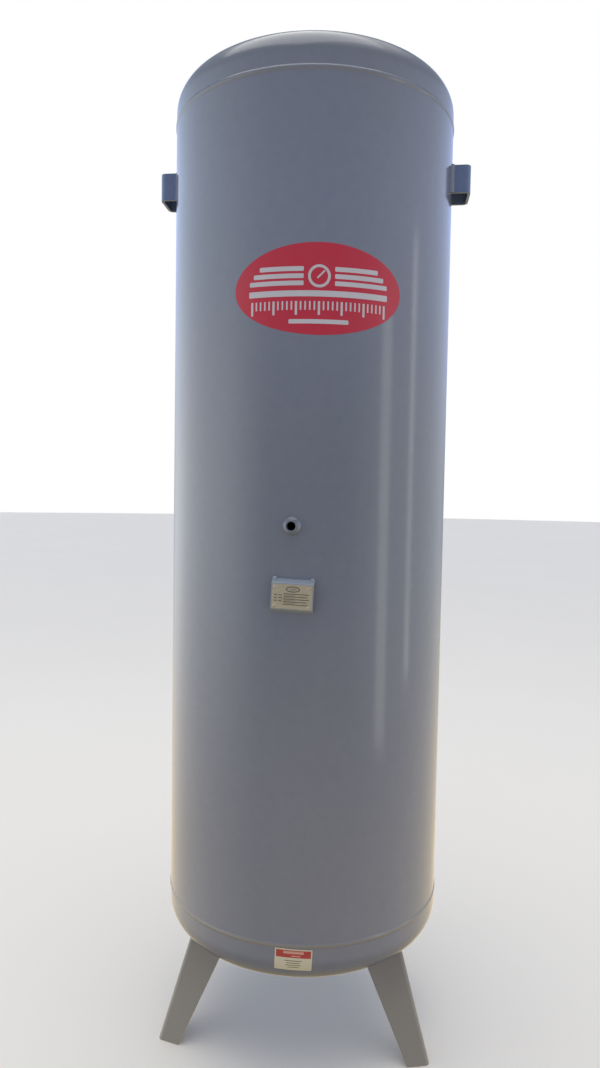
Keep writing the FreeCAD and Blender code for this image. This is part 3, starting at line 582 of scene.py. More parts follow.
def socket_facts(name):
    """Where a socket stands, its outward direction, bore, body, reach and the surface's fall."""
    low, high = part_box(name)
    centre = (low + high) / 2
    bores = {mount["name"]: mount["dims"]["r_mm"] * MM for mount in frame["record"]["mounts"]
             if mount["kind"] == "threaded_hole"}
    bore = bores.get(name.replace("_socket", "_port"), sizes().inspection_bore / 2)
    body = (high.x - low.x) / 2
    if name in ("safety_valve_socket", "drain_socket"):
        up = 1 if name == "safety_valve_socket" else -1
        seam = UPPER_SEAM if up > 0 else LOWER_SEAM
        spot = Vector((0, 0, seam + up * crown_height()))
        mouth = high.z if up > 0 else low.z
        return spot, Vector((0, 0, up)), bore, body, abs(mouth - spot.z), crown_fall
    side = 1 if centre.y > 0 else -1
    mouth = high.y if side > 0 else low.y
    spot = Vector((0, side * RADIUS, centre.z))
    return spot, Vector((0, side, 0)), bore, body, abs(mouth) - RADIUS, shell_fall


# ------------------------------------------------------------------ weld beads
RIPPLE_STEPS = 4
ACROSS = 6


def bead(run, half_width, rise, seed, coarse=1.0):
    """A flat weld bead along X, its face towards -Y, with a crescent ripple for each puddle.

    Machine-laid seams are smoother than fillets laid by hand, so coarse is less for them.
    """
    bm = bmesh.new()
    ripples = max(6, round(run / welds().pitch))
    bmesh.ops.create_grid(bm, x_segments=ripples * RIPPLE_STEPS, y_segments=ACROSS, size=0.5)
    for vert in bm.verts:
        along, across = vert.co.x, 2 * vert.co.y
        crown = 1 - across * across
        around = Vector((math.cos(math.tau * along), math.sin(math.tau * along), seed))
        uneven = 0.12 * coarse * noise.noise(around * ripples * 0.11)
        wave = 0.5 + 0.5 * math.cos(math.tau * (along * ripples + 0.4 * across * across))
        lift = crown * (rise * (1 + uneven) + welds().ripple * coarse * wave)
        wander = 0.05 * half_width * noise.noise(around * ripples * 0.05)
        vert.co = (along * run, BURIED - lift, across * half_width + wander)
    return bm


def closed_bead(bm):
    """Gives a bead its back, inside the metal that it is laid on."""
    bmesh.ops.recalc_face_normals(bm, faces=bm.faces[:])
    bmesh.ops.solidify(bm, geom=bm.faces[:], thickness=0.8 * MM)
    tidy(bm)


def lay_fillet(bm, run, half_width, station):
    """Lays a flat bead into a corner.

    station gives, for a share of the run, the corner's point and the two directions of the
    fillet's legs, each as long as its leg.
    """
    for vert in bm.verts:
        share = (vert.co.z / half_width + 1) / 2
        corner, one, other = station(vert.co.x / run + 0.5)
        out = (one.normalized() + other.normalized()).normalized()
        vert.co = corner + one * (1 - share) + other * share - out * vert.co.y


# ------------------------------------------------------------------ the pieces
class RECEIVER_OT_shell(bpy.types.Operator):
    """Rolls the shell plate, drilled for its sockets"""

    bl_idname = "receiver.shell"
    bl_label = "Shell plate"

    def execute(self, context):
        columns = 288
        cell = math.tau * RADIUS / columns
        low, high = LOWER_SEAM, UPPER_SEAM
        bm = bmesh.new()
        bmesh.ops.create_grid(bm, x_segments=columns, y_segments=1, size=0.5)
        for vert in bm.verts:
            vert.co = (vert.co.x * math.tau * RADIUS, 0, low if vert.co.y < 0 else high)
        start = SEAM_TURN - math.pi
        for name in ("gauge_socket", "inlet_socket", "outlet_socket", "inspection_socket"):
            spot, out, bore, body, reach, fall = socket_facts(name)
            turn = math.atan2(out.x, -out.y) - start
            across = (turn + math.pi) % math.tau - math.pi
            across = round(across * RADIUS / cell) * cell
            half = math.ceil((body + 2 * MM) / cell)
            for row in range(-half, half + 1):
                bmesh.ops.bisect_plane(
                    bm, geom=bm.verts[:] + bm.edges[:] + bm.faces[:], dist=1e-7,
                    plane_co=(0, 0, spot.z + row * cell), plane_no=(0, 0, 1))
            self.drill(bm, across, spot.z, half * cell, 8 * half, bore + sizes().drill_clear)
        roll(bm, start)
        tidy(bm)
        bmesh.ops.solidify(bm, geom=bm.faces[:], thickness=sizes().wall)
        tidy(bm)
        put(bm, "rolled_shell", ["vessel"], ["shell_plate"])
        return {"FINISHED"}

    def drill(self, bm, x, z, half, segments, radius):
        """Opens a square in the flat plate and fills it again round a drilled hole."""
        inside = [face for face in bm.faces
                  if abs(face.calc_center_median().x - x) < half
                  and abs(face.calc_center_median().z - z) < half]
        bmesh.ops.delete(bm, geom=inside, context="FACES")
        rim = [edge for edge in bm.edges if edge.is_boundary
               and all(abs(vert.co.x - x) < half * 1.01 and abs(vert.co.z - z) < half * 1.01
                       for vert in edge.verts)]
        turned = Matrix.Translation((x, 0, z)) @ Matrix.Rotation(math.pi / 2, 4, "X")
        circle = bmesh.ops.create_circle(bm, segments=segments, radius=radius, matrix=turned)
        edges = {edge for vert in circle["verts"] for edge in vert.link_edges}
        bmesh.ops.bridge_loops(bm, edges=rim + list(edges))


class RECEIVER_OT_ends(bpy.types.Operator):
    """Presses the two dished ends, each with a hole in its crown"""

    bl_idname = "receiver.ends"
    bl_label = "Dished ends"

    def execute(self, context):
        for name, socket, seam, up in (
                ("top_dished_end", "safety_valve_socket", UPPER_SEAM, 1),
                ("bottom_dished_end", "drain_socket", LOWER_SEAM, -1)):
            bore = socket_facts(socket)[2]
            bm = bmesh.new()
            end_outline(bm, bore + sizes().drill_clear)
            lathe(bm, 288)
            if max(bm.faces, key=lambda face: face.calc_center_median().z).normal.z < 0:
                bmesh.ops.reverse_faces(bm, faces=bm.faces[:])
            bmesh.ops.solidify(bm, geom=bm.faces[:], thickness=sizes().wall)
            shift(bm, Matrix.Translation((0, 0, seam)) @ Matrix.Diagonal((1, 1, up, 1)))
            tidy(bm)
            put(bm, name.replace("dished", "pressed"), ["vessel"], [name])
        return {"FINISHED"}


class RECEIVER_OT_seam_welds(bpy.types.Operator):
    """Lays the two girth welds and the lengthwise weld"""

    bl_idname = "receiver.seam_welds"
    bl_label = "Seam welds"

    def execute(self, context):
        weld = welds()
        for name, height, seed in (("top_girth", UPPER_SEAM, 1.0), ("bottom_girth", LOWER_SEAM, 2.0)):
            bm = bead(math.tau * RADIUS, weld.half_width, weld.girth_rise, seed, 0.15)
            roll(bm, 0.0, height)
            bmesh.ops.remove_doubles(bm, verts=bm.verts[:], dist=0.01 * MM)
            closed_bead(bm)
            put(bm, name + "_bead", ["weld"], [name + "_weld"], sharp=80)
        run = UPPER_SEAM - LOWER_SEAM - 2 * weld.half_width
        bm = bead(run, weld.half_width, weld.long_rise, 3.0, 0.4)
        shift(bm, Matrix.Rotation(-math.pi / 2, 4, "Y"))
        roll(bm, SEAM_TURN, (UPPER_SEAM + LOWER_SEAM) / 2)
        closed_bead(bm)
        put(bm, "lengthwise_bead", ["weld"], ["longitudinal_weld"], sharp=80)
        return {"FINISHED"}


class RECEIVER_OT_sockets(bpy.types.Operator):
    """Turns and threads the pipe sockets, and welds each one on"""

    bl_idname = "receiver.sockets"
    bl_label = "Pipe sockets"

    def execute(self, context):
        for number, (name, pitch) in enumerate(SOCKETS.items()):
            spot, out, bore, body, reach, fall = socket_facts(name)
            self.turn_socket(name, spot, out, bore, body, reach, pitch)
            self.weld_socket(name, spot, out, body, fall, 4.0 + number)
        return {"FINISHED"}

    def turn_socket(self, name, spot, out, bore, body, reach, pitch):
        """A threaded barrel with a chamfered mouth and rounded rims."""
        chamfer, rim, root = 1.2 * MM, 0.8 * MM, 4.0 * MM
        depth = 0.5 * pitch
        strokes = []
        for turn in range(int((reach - chamfer + root) / pitch)):
            base = turn * pitch - root
            strokes += [(bore, base), (bore + depth, base + pitch / 2)]
        strokes += [(bore, reach - chamfer), (bore + chamfer, reach), (body - rim, reach),
                    (body - rim, reach - rim, 90), (body, -root), (bore + depth, -root)]
        bm = bmesh.new()
        draw(bm, strokes[-1], strokes[:-1], closed=True)
        lathe(bm, 64)
        for face in bm.faces:
            middle = face.calc_center_median()
            threaded = math.hypot(middle.x, middle.y) < bore + 0.9 * chamfer
            face.material_index = 1 if threaded and middle.z < reach - 0.1 * MM else 0
        shift(bm, standing(spot, out))
        put(bm, "turned_" + name, ["fitting", "thread"], [name], sharp=50)

    def weld_socket(self, name, spot, out, body, fall, seed):
        """A rippled fillet round the barrel, settled onto the vessel's surface."""
        leg = welds().socket_leg
        run = math.tau * (body + leg / 2)
        half = leg * math.sqrt(0.5)
        bm = bead(run, half, 0.9 * MM, seed)

        def station(share):
            way = Vector((math.cos(math.tau * share), math.sin(math.tau * share), 0))
            return way * body, way * leg, Vector((0, 0, leg))

        lay_fillet(bm, run, half, station)
        for vert in bm.verts:
            vert.co.z -= fall(vert.co.x, vert.co.y)
        bmesh.ops.remove_doubles(bm, verts=bm.verts[:], dist=0.01 * MM)
        closed_bead(bm)
        shift(bm, standing(spot, out))
        put(bm, name + "_fillet", ["weld"], [name + "_weld"], sharp=80)


class RECEIVER_OT_plug(bpy.types.Operator):
    """Turns the inspection plug and cuts its hexagon"""

    bl_idname = "receiver.plug"
    bl_label = "Inspection plug"

    def execute(self, context):
        size = sizes()
        spot, out, bore, body, reach, fall = socket_facts("inspection_socket")
        flat = size.plug_flats / 2
        tip = flat / math.cos(math.radians(30))
        drop = (tip - 0.95 * flat) * math.tan(math.radians(30))
        recess, depth = 15 * MM, 0.8 * MM
        shank, pitch = 0.15 * MM, SOCKETS["inspection_socket"]
        bm = bmesh.new()
        strokes = [(bore - 2 * MM, -20 * MM)]
        for turn in range(7):
            base = turn * pitch - 18 * MM
            strokes += [(bore - shank, base), (bore - shank - 0.4 * pitch, base + pitch / 2)]
        strokes += [(bore - shank, 0), (0.97 * flat, 0), (tip, 1 * MM), (tip, size.plug_head - drop),
                    (0.95 * flat, size.plug_head), (recess + depth, size.plug_head),
                    (recess, size.plug_head - depth), (0, size.plug_head - depth)]
        draw(bm, (0, -20 * MM), strokes)
        lathe(bm, 96)
        for side in range(6):
            way = Vector((math.cos(side * math.pi / 3), math.sin(side * math.pi / 3), 0))
            cut = bmesh.ops.bisect_plane(
                bm, geom=bm.verts[:] + bm.edges[:] + bm.faces[:], dist=1e-7,
                plane_co=way * flat, plane_no=way, clear_outer=True)
            rim = [item for item in cut["geom_cut"] if isinstance(item, bmesh.types.BMEdge)]
            bmesh.ops.holes_fill(bm, edges=rim)
        turned = Matrix.Rotation(math.pi / 6, 4, "Z")
        shift(bm, standing(spot + out * reach, out) @ turned)
        tidy(bm)
        put(bm, "hexagon_plug", ["plug"], ["inspection_plug"], sharp=20)
        return {"FINISHED"}


class RECEIVER_OT_lugs(bpy.types.Operator):
    """Bends the two lifting lugs and welds them on"""

    bl_idname = "receiver.lugs"
    bl_label = "Lifting lugs"

    def execute(self, context):
        for name, side in (("left", -1), ("right", 1)):
            low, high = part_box(name + "_lifting_lug")
            face = max(abs(low.x), abs(high.x))
            half = high.y
            mirror = Matrix.Diagonal((side, 1, 1, 1))
            self.bend(name, face, half, low.z, high.z, mirror)
            self.weld(name, half, low.z, high.z, mirror, 10.0 + side)
        return {"FINISHED"}

    def bend(self, name, face, half, base, top, mirror):
        """A strip bent to a U, its web outwards."""
        size = sizes()
        root = math.sqrt(RADIUS**2 - half**2) - 2 * MM
        corners = [(root, -half), (face, -half), (face, half), (root, half)]
        bm = bmesh.new()
        draw(bm, corners[0], rounded(corners, size.lug_bend))
        shift(bm, Matrix.Rotation(-math.pi / 2, 4, "X"))
        raised = bmesh.ops.extrude_edge_only(bm, edges=bm.edges[:])["geom"]
        bmesh.ops.translate(bm, vec=(0, 0, top - base),
                            verts=[item for item in raised if isinstance(item, bmesh.types.BMVert)])
        bmesh.ops.recalc_face_normals(bm, faces=bm.faces[:])
        if max(bm.faces, key=lambda f: f.calc_center_median().x).normal.x < 0:
            bmesh.ops.reverse_faces(bm, faces=bm.faces[:])
        bmesh.ops.solidify(bm, geom=bm.faces[:], thickness=size.lug_sheet)
        shift(bm, mirror @ Matrix.Translation((0, 0, base)))
        tidy(bm)
        put(bm, name + "_bent_lug", ["lug"], [name + "_lifting_lug"],
            rounding=size.edge)

    def weld(self, name, half, base, top, mirror, seed):
        """An upright fillet outside each flange."""
        leg = welds().lug_leg
        run = top - base
        half_width = leg * math.sqrt(0.5)
        pair = bmesh.new()
        for flank in (-1, 1):
            corner = Vector((math.sqrt(RADIUS**2 - half**2), flank * half, 0))
            along_shell = Vector((-corner.y, corner.x, 0)).normalized() * flank
            bm = bead(run, half_width, 0.8 * MM, seed + 0.3 * flank)

            def station(share):
                return corner + Vector((0, 0, base + run * share)), along_shell * leg, Vector((leg, 0, 0))

            lay_fillet(bm, run, half_width, station)
            bmesh.ops.recalc_face_normals(bm, faces=bm.faces[:])
            if sum(face.normal.x for face in bm.faces) < 0:
                bmesh.ops.reverse_faces(bm, faces=bm.faces[:])
            bmesh.ops.solidify(bm, geom=bm.faces[:], thickness=0.8 * MM)
            add_to(pair, bm)
        shift(pair, mirror)
        tidy(pair)
        put(pair, name + "_lug_fillets", ["weld"], [name + "_lug_weld"], sharp=80)


class RECEIVER_OT_legs(bpy.types.Operator):
    """Folds the three legs up to the bottom end and welds them on"""

    bl_idname = "receiver.legs"
    bl_label = "Legs and feet"

    def execute(self, context):
        depsgraph = context.evaluated_depsgraph_get()
        self.dish = BVHTree.FromObject(bpy.data.objects["bottom_pressed_end"], depsgraph)
        size = sizes()
        # The fold's sharp corner at the floor, out from the rounded fold that the frame gives.
        self.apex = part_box("rear_leg")[1].y + size.leg_bend * (math.sqrt(2) - 1)
        self.head = LOWER_SEAM - size.leg_drop
        section = self.section()
        leg = self.leg(section.copy())
        weld = self.weld(section)
        for name, turn in LEG_TURNS.items():
            around = Matrix.Rotation(math.radians(turn - 90), 4, "Z")
            for piece, title, cad, looks, edge, sharp in (
                    (leg, "_folded_leg", "_leg", "leg", size.edge, 40),
                    (weld, "_leg_fillet", "_leg_weld", "weld", 0.0, 80)):
                bm = piece.copy()
                shift(bm, around)
                put(bm, name + title, [looks], [name + cad], sharp=sharp, rounding=edge)
            foot = frame["nodes"][name + "_foot_plate"]
            foot.data.materials.clear()
            foot.data.materials.append(finish("leg"))
        leg.free()
        weld.free()
        return {"FINISHED"}

    def section(self):
        """The leg's flat section at the floor: two flanges with a rounded fold."""
        size = sizes()
        fold = math.sqrt(0.5)

        def along(distance, inset, side):
            return (self.apex - (distance + inset) * fold, (distance - inset) * fold * side)

        sheet, width = size.leg_sheet, size.leg_foot
        outer = [along(width, 0, -1), (self.apex, 0), along(width, 0, 1)]
        inner = [along(width, sheet, 1), along(sheet, sheet, 1), along(width, sheet, -1)]
        strokes = rounded(outer, size.leg_bend) + [inner[0]] + rounded(inner, size.leg_bend - sheet)
        bm = bmesh.new()
        draw(bm, outer[0], strokes, closed=True)
        for edge in bm.edges[:]:
            cuts = int(edge.calc_length() / (1.2 * MM))
            if cuts:
                bmesh.ops.subdivide_edges(bm, edges=[edge], cuts=cuts)
        bmesh.ops.edgeloop_fill(bm, edges=bm.edges[:])
        shift(bm, Matrix.Rotation(-math.pi / 2, 4, "X"))
        bmesh.ops.recalc_face_normals(bm, faces=bm.faces[:])
        face = next(iter(bm.faces))
        if face.normal.z < 0:
            face.normal_flip()
        return bm

    def flared(self, point):
        """Where a point of the floor section lies in the wider section at the leg's head."""
        size = sizes()
        root = math.sqrt(2)
        inward = self.apex - point.x
        distance = (inward + abs(point.y)) / root
        inset = (inward - abs(point.y)) / root
        if distance > size.leg_bend:
            stretch = (size.leg_head - size.leg_bend) / (size.leg_foot - size.leg_bend)
            distance = size.leg_bend + (distance - size.leg_bend) * stretch
        fold = math.sqrt(0.5)
        apex = self.apex - self.head * math.tan(size.leg_splay)
        side = math.copysign(1, point.y)
        return Vector((apex - (distance + inset) * fold, (distance - inset) * fold * side, self.head))

    def touch(self, point):
        """Where the leg's line up from a floor point meets the bottom end, and the end's normal."""
        way = (self.flared(point) - point).normalized()
        spot, normal, face, distance = self.dish.ray_cast(point, way)
        if spot is None:
            raise RuntimeError("a leg's line misses the bottom end")
        return spot, normal, way

    def leg(self, bm):
        raised = bmesh.ops.extrude_face_region(bm, geom=bm.faces[:])["geom"]
        for item in raised:
            if isinstance(item, bmesh.types.BMVert):
                spot, normal, way = self.touch(item.co)
                item.co = spot + way * 1.5 * MM
        tidy(bm)
        return bm

    def weld(self, section):
        """A fillet all round the leg's head, on the leg and on the end."""
        face = next(iter(section.faces))
        points = [vert.co.copy() for vert in face.verts]
        section.free()
        count = len(points)
        leg = welds().leg_leg
        stations = []
        for number, point in enumerate(points):
            one = (point - points[number - 1]).normalized()
            two = (points[(number + 1) % count] - point).normalized()
            middle = (one + two).normalized()
            out = Vector((middle.y, -middle.x, 0)) / max(0.5, middle.dot(one))
            spot, normal, way = self.touch(point)
            along_end = out - normal * out.dot(normal)
            stations.append((spot, along_end * leg, -way * leg))
        lengths = [0.0]
        for number in range(count):
            lengths.append(lengths[-1] + (stations[(number + 1) % count][0] - stations[number][0]).length)
        run = lengths[-1]

        def station(share):
            reach = (share % 1.0) * run
            number = max(at for at in range(count) if lengths[at] <= reach)
            part = (reach - lengths[number]) / max(1e-9, lengths[number + 1] - lengths[number])
            return [a.lerp(b, part) for a, b in zip(stations[number], stations[(number + 1) % count])]

        half_width = leg * math.sqrt(0.5)
        bm = bead(run, half_width, 0.7 * MM, 20.0)
        lay_fillet(bm, run, half_width, station)
        bmesh.ops.remove_doubles(bm, verts=bm.verts[:], dist=0.01 * MM)
        closed_bead(bm)
        return bm


def plate_place():
    """The matrix that stands a piece of the data plate in front of the shell.

    The piece is drawn in the XZ plane about the plate's centre, with -Y outwards from the
    bracket's face.
    """
    low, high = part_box("nameplate")
    face = -high.y
    turned = Matrix.Rotation(plates().plate_turn, 4, "Z")
    tilted = Matrix.Rotation(plates().plate_tilt, 4, "Y")
    return turned @ Matrix.Translation((0, -face, (low.z + high.z) / 2)) @ tilted


class RECEIVER_OT_bracket(bpy.types.Operator):
    """Bends the data plate's bracket and tacks it to the shell"""

    bl_idname = "receiver.bracket"
    bl_label = "Data plate bracket"

    def execute(self, context):
        plate = plates()
        low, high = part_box("nameplate")
        standoff = -high.y - RADIUS
        half = plate.bracket_face / 2
        inside = 2.0 * MM  # how far the lips run into the shell
        run = standoff + inside
        rise = plate.bracket_lip * run / standoff
        corners = [(run, half + rise), (0, half), (0, -half), (run, -half - rise)]
        bm = bmesh.new()
        draw(bm, corners[0], rounded(corners, 3.0 * MM))
        shift(bm, Matrix.Rotation(math.pi / 2, 4, "Z"))
        wide = bmesh.ops.extrude_edge_only(bm, edges=bm.edges[:])["geom"]
        bmesh.ops.translate(bm, vec=(plate.bracket_width, 0, 0),
                            verts=[item for item in wide if isinstance(item, bmesh.types.BMVert)])
        cross_cut(bm, 0, 8 * MM)
        bmesh.ops.recalc_face_normals(bm, faces=bm.faces[:])
        if min(bm.faces, key=lambda f: f.calc_center_median().y).normal.y > 0:
            bmesh.ops.reverse_faces(bm, faces=bm.faces[:])
        bmesh.ops.solidify(bm, geom=bm.faces[:], thickness=plate.bracket_sheet)
        shift(bm, plate_place() @ Matrix.Translation((-plate.bracket_width / 2, 0, 0)))
        tidy(bm)
        put(bm, "bent_bracket", ["bracket"], ["nameplate_bracket"],
            rounding=0.4 * MM)

        tacks = bmesh.new()
        for side in (-1, 1):
            blob = bmesh.new()
            bmesh.ops.create_icosphere(blob, subdivisions=4, radius=4.3 * MM)
            for vert in blob.verts:
                rough = noise.noise(vert.co / (2.5 * MM) + Vector((side * 7.0, 0, 0)))
                vert.co *= 1 + 0.10 * rough
            shift(blob, Matrix.Translation((side * (plate.bracket_width / 2 - 4.5 * MM),
                                            standoff, half + plate.bracket_lip)))
            add_to(tacks, blob)
        shift(tacks, plate_place())
        tidy(tacks)
        put(tacks, "bracket_tacks", ["bracket"], ["nameplate_bracket_welds"], sharp=80)
        return {"FINISHED"}


def flat_bar(width, height, corner=0.0):
    """A flat bar in the XZ plane, its face towards -Y, with rounded corners."""
    bm = bmesh.new()
    bmesh.ops.create_grid(bm, x_segments=1, y_segments=1, size=0.5)
    shift(bm, Matrix.Rotation(math.pi / 2, 4, "X") @ Matrix.Diagonal((width, height, 1, 1)))
    if corner:
        bmesh.ops.bevel(bm, geom=bm.verts[:], offset=corner, offset_type="OFFSET", segments=5,
                        profile=0.5, affect="VERTICES", material=-1)
    return bm


def flat_oval(width, height, ring=0.0):
    """A flat oval in the XZ plane, its face towards -Y, or only a ring of it."""
    bm = bmesh.new()
    bmesh.ops.create_circle(bm, cap_ends=True, segments=96, radius=0.5)
    shift(bm, Matrix.Rotation(math.pi / 2, 4, "X") @ Matrix.Diagonal((width, height, 1, 1)))
    if ring:
        middle = bm.faces[:]
        bmesh.ops.inset_region(bm, faces=middle, thickness=ring, use_boundary=True,
                               use_even_offset=True)
        bmesh.ops.delete(bm, geom=middle, context="FACES")
    bmesh.ops.recalc_face_normals(bm, faces=bm.faces[:])
    if next(iter(bm.faces)).normal.y > 0:
        bmesh.ops.reverse_faces(bm, faces=bm.faces[:])
    return bm


def lay(bm, shape, x, z, base, thick, material=0, tilt=0.0):
    """Adds a flat shape, thick, on a surface at base. A mark's back sinks in a little."""
    sunk = 0.02 * MM if base else 0.0
    base, thick = base - sunk, thick + sunk
    bmesh.ops.solidify(shape, geom=shape.faces[:], thickness=thick)
    for face in shape.faces:
        face.material_index = material
    shift(shape, Matrix.Translation((x, -base - thick, z)) @ Matrix.Rotation(tilt, 4, "Y"))
    add_to(bm, shape)


class RECEIVER_OT_data_plate(bpy.types.Operator):
    """Stamps the data plate, fills its blank marks with ink and rivets it on"""

    bl_idname = "receiver.data_plate"
    bl_label = "Data plate"

    def execute(self, context):
        plate = plates()
        width, height, sheet = plate.plate_width, plate.plate_height, plate.plate_sheet
        rim, sink = 1.1 * MM, 0.18 * MM
        bm = flat_bar(width, height, 2.6 * MM)
        face = bm.faces[:]
        bmesh.ops.inset_region(bm, faces=face, thickness=rim, use_boundary=True,
                               use_even_offset=True)
        bmesh.ops.inset_region(bm, faces=face, thickness=0.16 * MM, depth=-sink,
                               use_boundary=True, use_even_offset=True)
        edge_loop = bmesh.ops.extrude_edge_only(bm, edges=[e for e in bm.edges if e.is_boundary])["geom"]
        bmesh.ops.translate(bm, vec=(0, sheet, 0),
                            verts=[item for item in edge_loop if isinstance(item, bmesh.types.BMVert)])
        bmesh.ops.holes_fill(bm, edges=[e for e in bm.edges if e.is_boundary])
        shift(bm, plate_place() @ Matrix.Translation((0, -sheet, 0)))
        tidy(bm)
        put(bm, "stamped_plate", ["aluminium"], ["nameplate"], sharp=15)

        marks = bmesh.new()
        for shape, x, z in self.marks():
            lay(marks, shape, x * MM, z * MM, sheet - sink, 0.05 * MM)
        shift(marks, plate_place())
        tidy(marks)
        put(marks, "plate_marks", ["plate_ink"], sharp=30)
        self.rivets(width / 2 - 5.5 * MM, height / 2 - 5.5 * MM, sheet)
        return {"FINISHED"}

    def marks(self):
        """Blank fields: an oval stamp over ruled lines, and a small table at the left."""
        yield flat_oval(27 * MM, 11.5 * MM, 2.0 * MM), 1.0, 13.8
        yield flat_bar(15 * MM, 1.1 * MM, 0.5 * MM), 1.0, 14.6
        yield flat_bar(10 * MM, 0.8 * MM, 0.3 * MM), 1.0, 12.4
        for row in range(3):
            for column in range(2):
                yield flat_bar(5.6 * MM, 1.9 * MM, 0.4 * MM), -31.0 + 8.2 * column, 2.2 - 5.4 * row
        yield flat_bar(0.6 * MM, 17 * MM), -19.6, -5.5
        for row, width in enumerate((48, 46, 48, 44, 48)):
            yield flat_bar(width * MM, 1.7 * MM, 0.3 * MM), -16.5 + width / 2, 5.0 - 5.0 * row
        for row in range(4):
            yield flat_bar(22 * MM, 0.8 * MM), -4.5, 2.6 - 5.0 * row

    def rivets(self, across, up, sheet):
        """Four blind rivets with domed heads and a pulled pin."""
        head, rise, pin = 2.8 * MM, 0.95 * MM, 0.9 * MM
        dome = (head**2 + rise**2) / (2 * rise)
        lean = math.degrees(math.asin(pin / dome))
        wide = math.degrees(math.asin(head / dome))
        bm = bmesh.new()
        draw(bm, (0, rise - 0.35 * MM), [
            (0.8 * pin, rise - 0.35 * MM), (pin, rise - dome + dome * math.cos(math.radians(lean))),
            (0, rise - dome, (wide - lean) / 2), (0, rise - dome, (wide - lean) / 2),
            (head, -0.3 * MM), (0, -0.3 * MM)])
        lathe(bm, 32)
        group = bmesh.new()
        for x in (-across, across):
            for z in (-up, up):
                rivet = bm.copy()
                shift(rivet, standing(Vector((x, -sheet, z)), Vector((0, -1, 0))))
                add_to(group, rivet)
        bm.free()
        shift(group, plate_place())
        put(group, "domed_rivets", ["rivet"], ["nameplate_rivets"], sharp=35)


class RECEIVER_OT_decal(bpy.types.Operator):
    """Sticks the oval decal on: a plain dial, stripes and a scale, with no lettering"""

    bl_idname = "receiver.decal"
    bl_label = "Oval decal"

    def execute(self, context):
        film = plates().film
        low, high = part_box("oval_decal")
        bm = bmesh.new()
        lay(bm, flat_oval(plates().decal_length, high.z - low.z), 0, 0, 0, film)
        for shape, x, z, tilt in self.artwork():
            lay(bm, shape, x * MM, z * MM, film, 0.06 * MM, 1, math.radians(tilt))
        cross_cut(bm, 0, 5 * MM)
        roll(bm, plates().decal_turn, (low.z + high.z) / 2)
        tidy(bm)
        put(bm, "oval_film", ["decal_red", "decal_white"], ["oval_decal"], sharp=30)
        return {"FINISHED"}

    def artwork(self):
        """A pressure dial between stripes, a rule, a plain scale and a short bar."""
        yield flat_oval(42 * MM, 42 * MM, 5 * MM), 0, 23, 0
        yield flat_bar(3.2 * MM, 20 * MM, 1.0 * MM), 3.2, 26.2, 45
        for side in (-1, 1):
            for row, reach in enumerate((84, 96, 104)):
                yield flat_bar(reach * MM, 8.5 * MM, 2 * MM), side * (29 + reach / 2), 36.0 - 13.0 * row, 0
        yield flat_bar(268 * MM, 11 * MM, 1.5 * MM), 0, -9, 0
        for number in range(31):
            tall = number % 5 == 0
            tick = flat_bar((4.2 if tall else 3.0) * MM, (25 if tall else 16) * MM)
            yield tick, -127.5 + 8.5 * number, -35.5 + (0 if tall else 4.5), 0
        yield flat_bar(112 * MM, 8 * MM, 2 * MM), 0, -60, 0


class RECEIVER_OT_label(bpy.types.Operator):
    """Sticks the small label on the bottom end's flange: a red band over plain lines"""

    bl_idname = "receiver.label"
    bl_label = "Small label"

    def execute(self, context):
        plate = plates()
        size = sizes()
        width, height, film = plate.label_width, plate.label_height, plate.film
        bm = bmesh.new()
        lay(bm, flat_bar(width, height, 1.5 * MM), 0, 0, 0, film)
        for shape, x, z, material in self.artwork(width, height):
            lay(bm, shape, x, z, film + (0.05 * MM if material == 2 else 0), 0.05 * MM, material)
        cross_cut(bm, 0, 5 * MM)
        cross_cut(bm, 2, 3 * MM)
        shift(bm, Matrix.Rotation(plate.label_tilt, 4, "Y"))
        knuckle_at = RADIUS - size.knuckle
        for vert in bm.verts:
            drop = plate.label_drop - vert.co.z
            turn = plate.label_turn + vert.co.x / RADIUS
            lift = -vert.co.y
            bend = max(0.0, drop - size.end_flange) / size.knuckle
            reach = knuckle_at + (size.knuckle + lift) * math.cos(bend)
            depth = min(drop, size.end_flange) + (size.knuckle + lift) * math.sin(bend)
            vert.co = (reach * math.sin(turn), -reach * math.cos(turn), LOWER_SEAM - depth)
        tidy(bm)
        put(bm, "label_film", ["label", "label_red", "label_pale", "label_ink"], ["warning_label"],
            sharp=30)
        return {"FINISHED"}

    def artwork(self, width, height):
        """A red band with two pale bars, over a few ruled lines."""
        band = 0.33 * height
        yield flat_bar(width - 5 * MM, band, 0.8 * MM), 0, height / 2 - 2.5 * MM - band / 2, 1
        yield flat_bar(40 * MM, 5 * MM, 1.2 * MM), 0, height / 2 - 6.8 * MM, 2
        yield flat_bar(18 * MM, 2 * MM, 0.6 * MM), 5 * MM, height / 2 - 13.6 * MM, 2
        for row, wide in enumerate((34, 26, 30, 22)):
            yield flat_bar(wide * MM, 1.5 * MM, 0.3 * MM), 0, -1.0 * MM - 4.6 * MM * row, 3


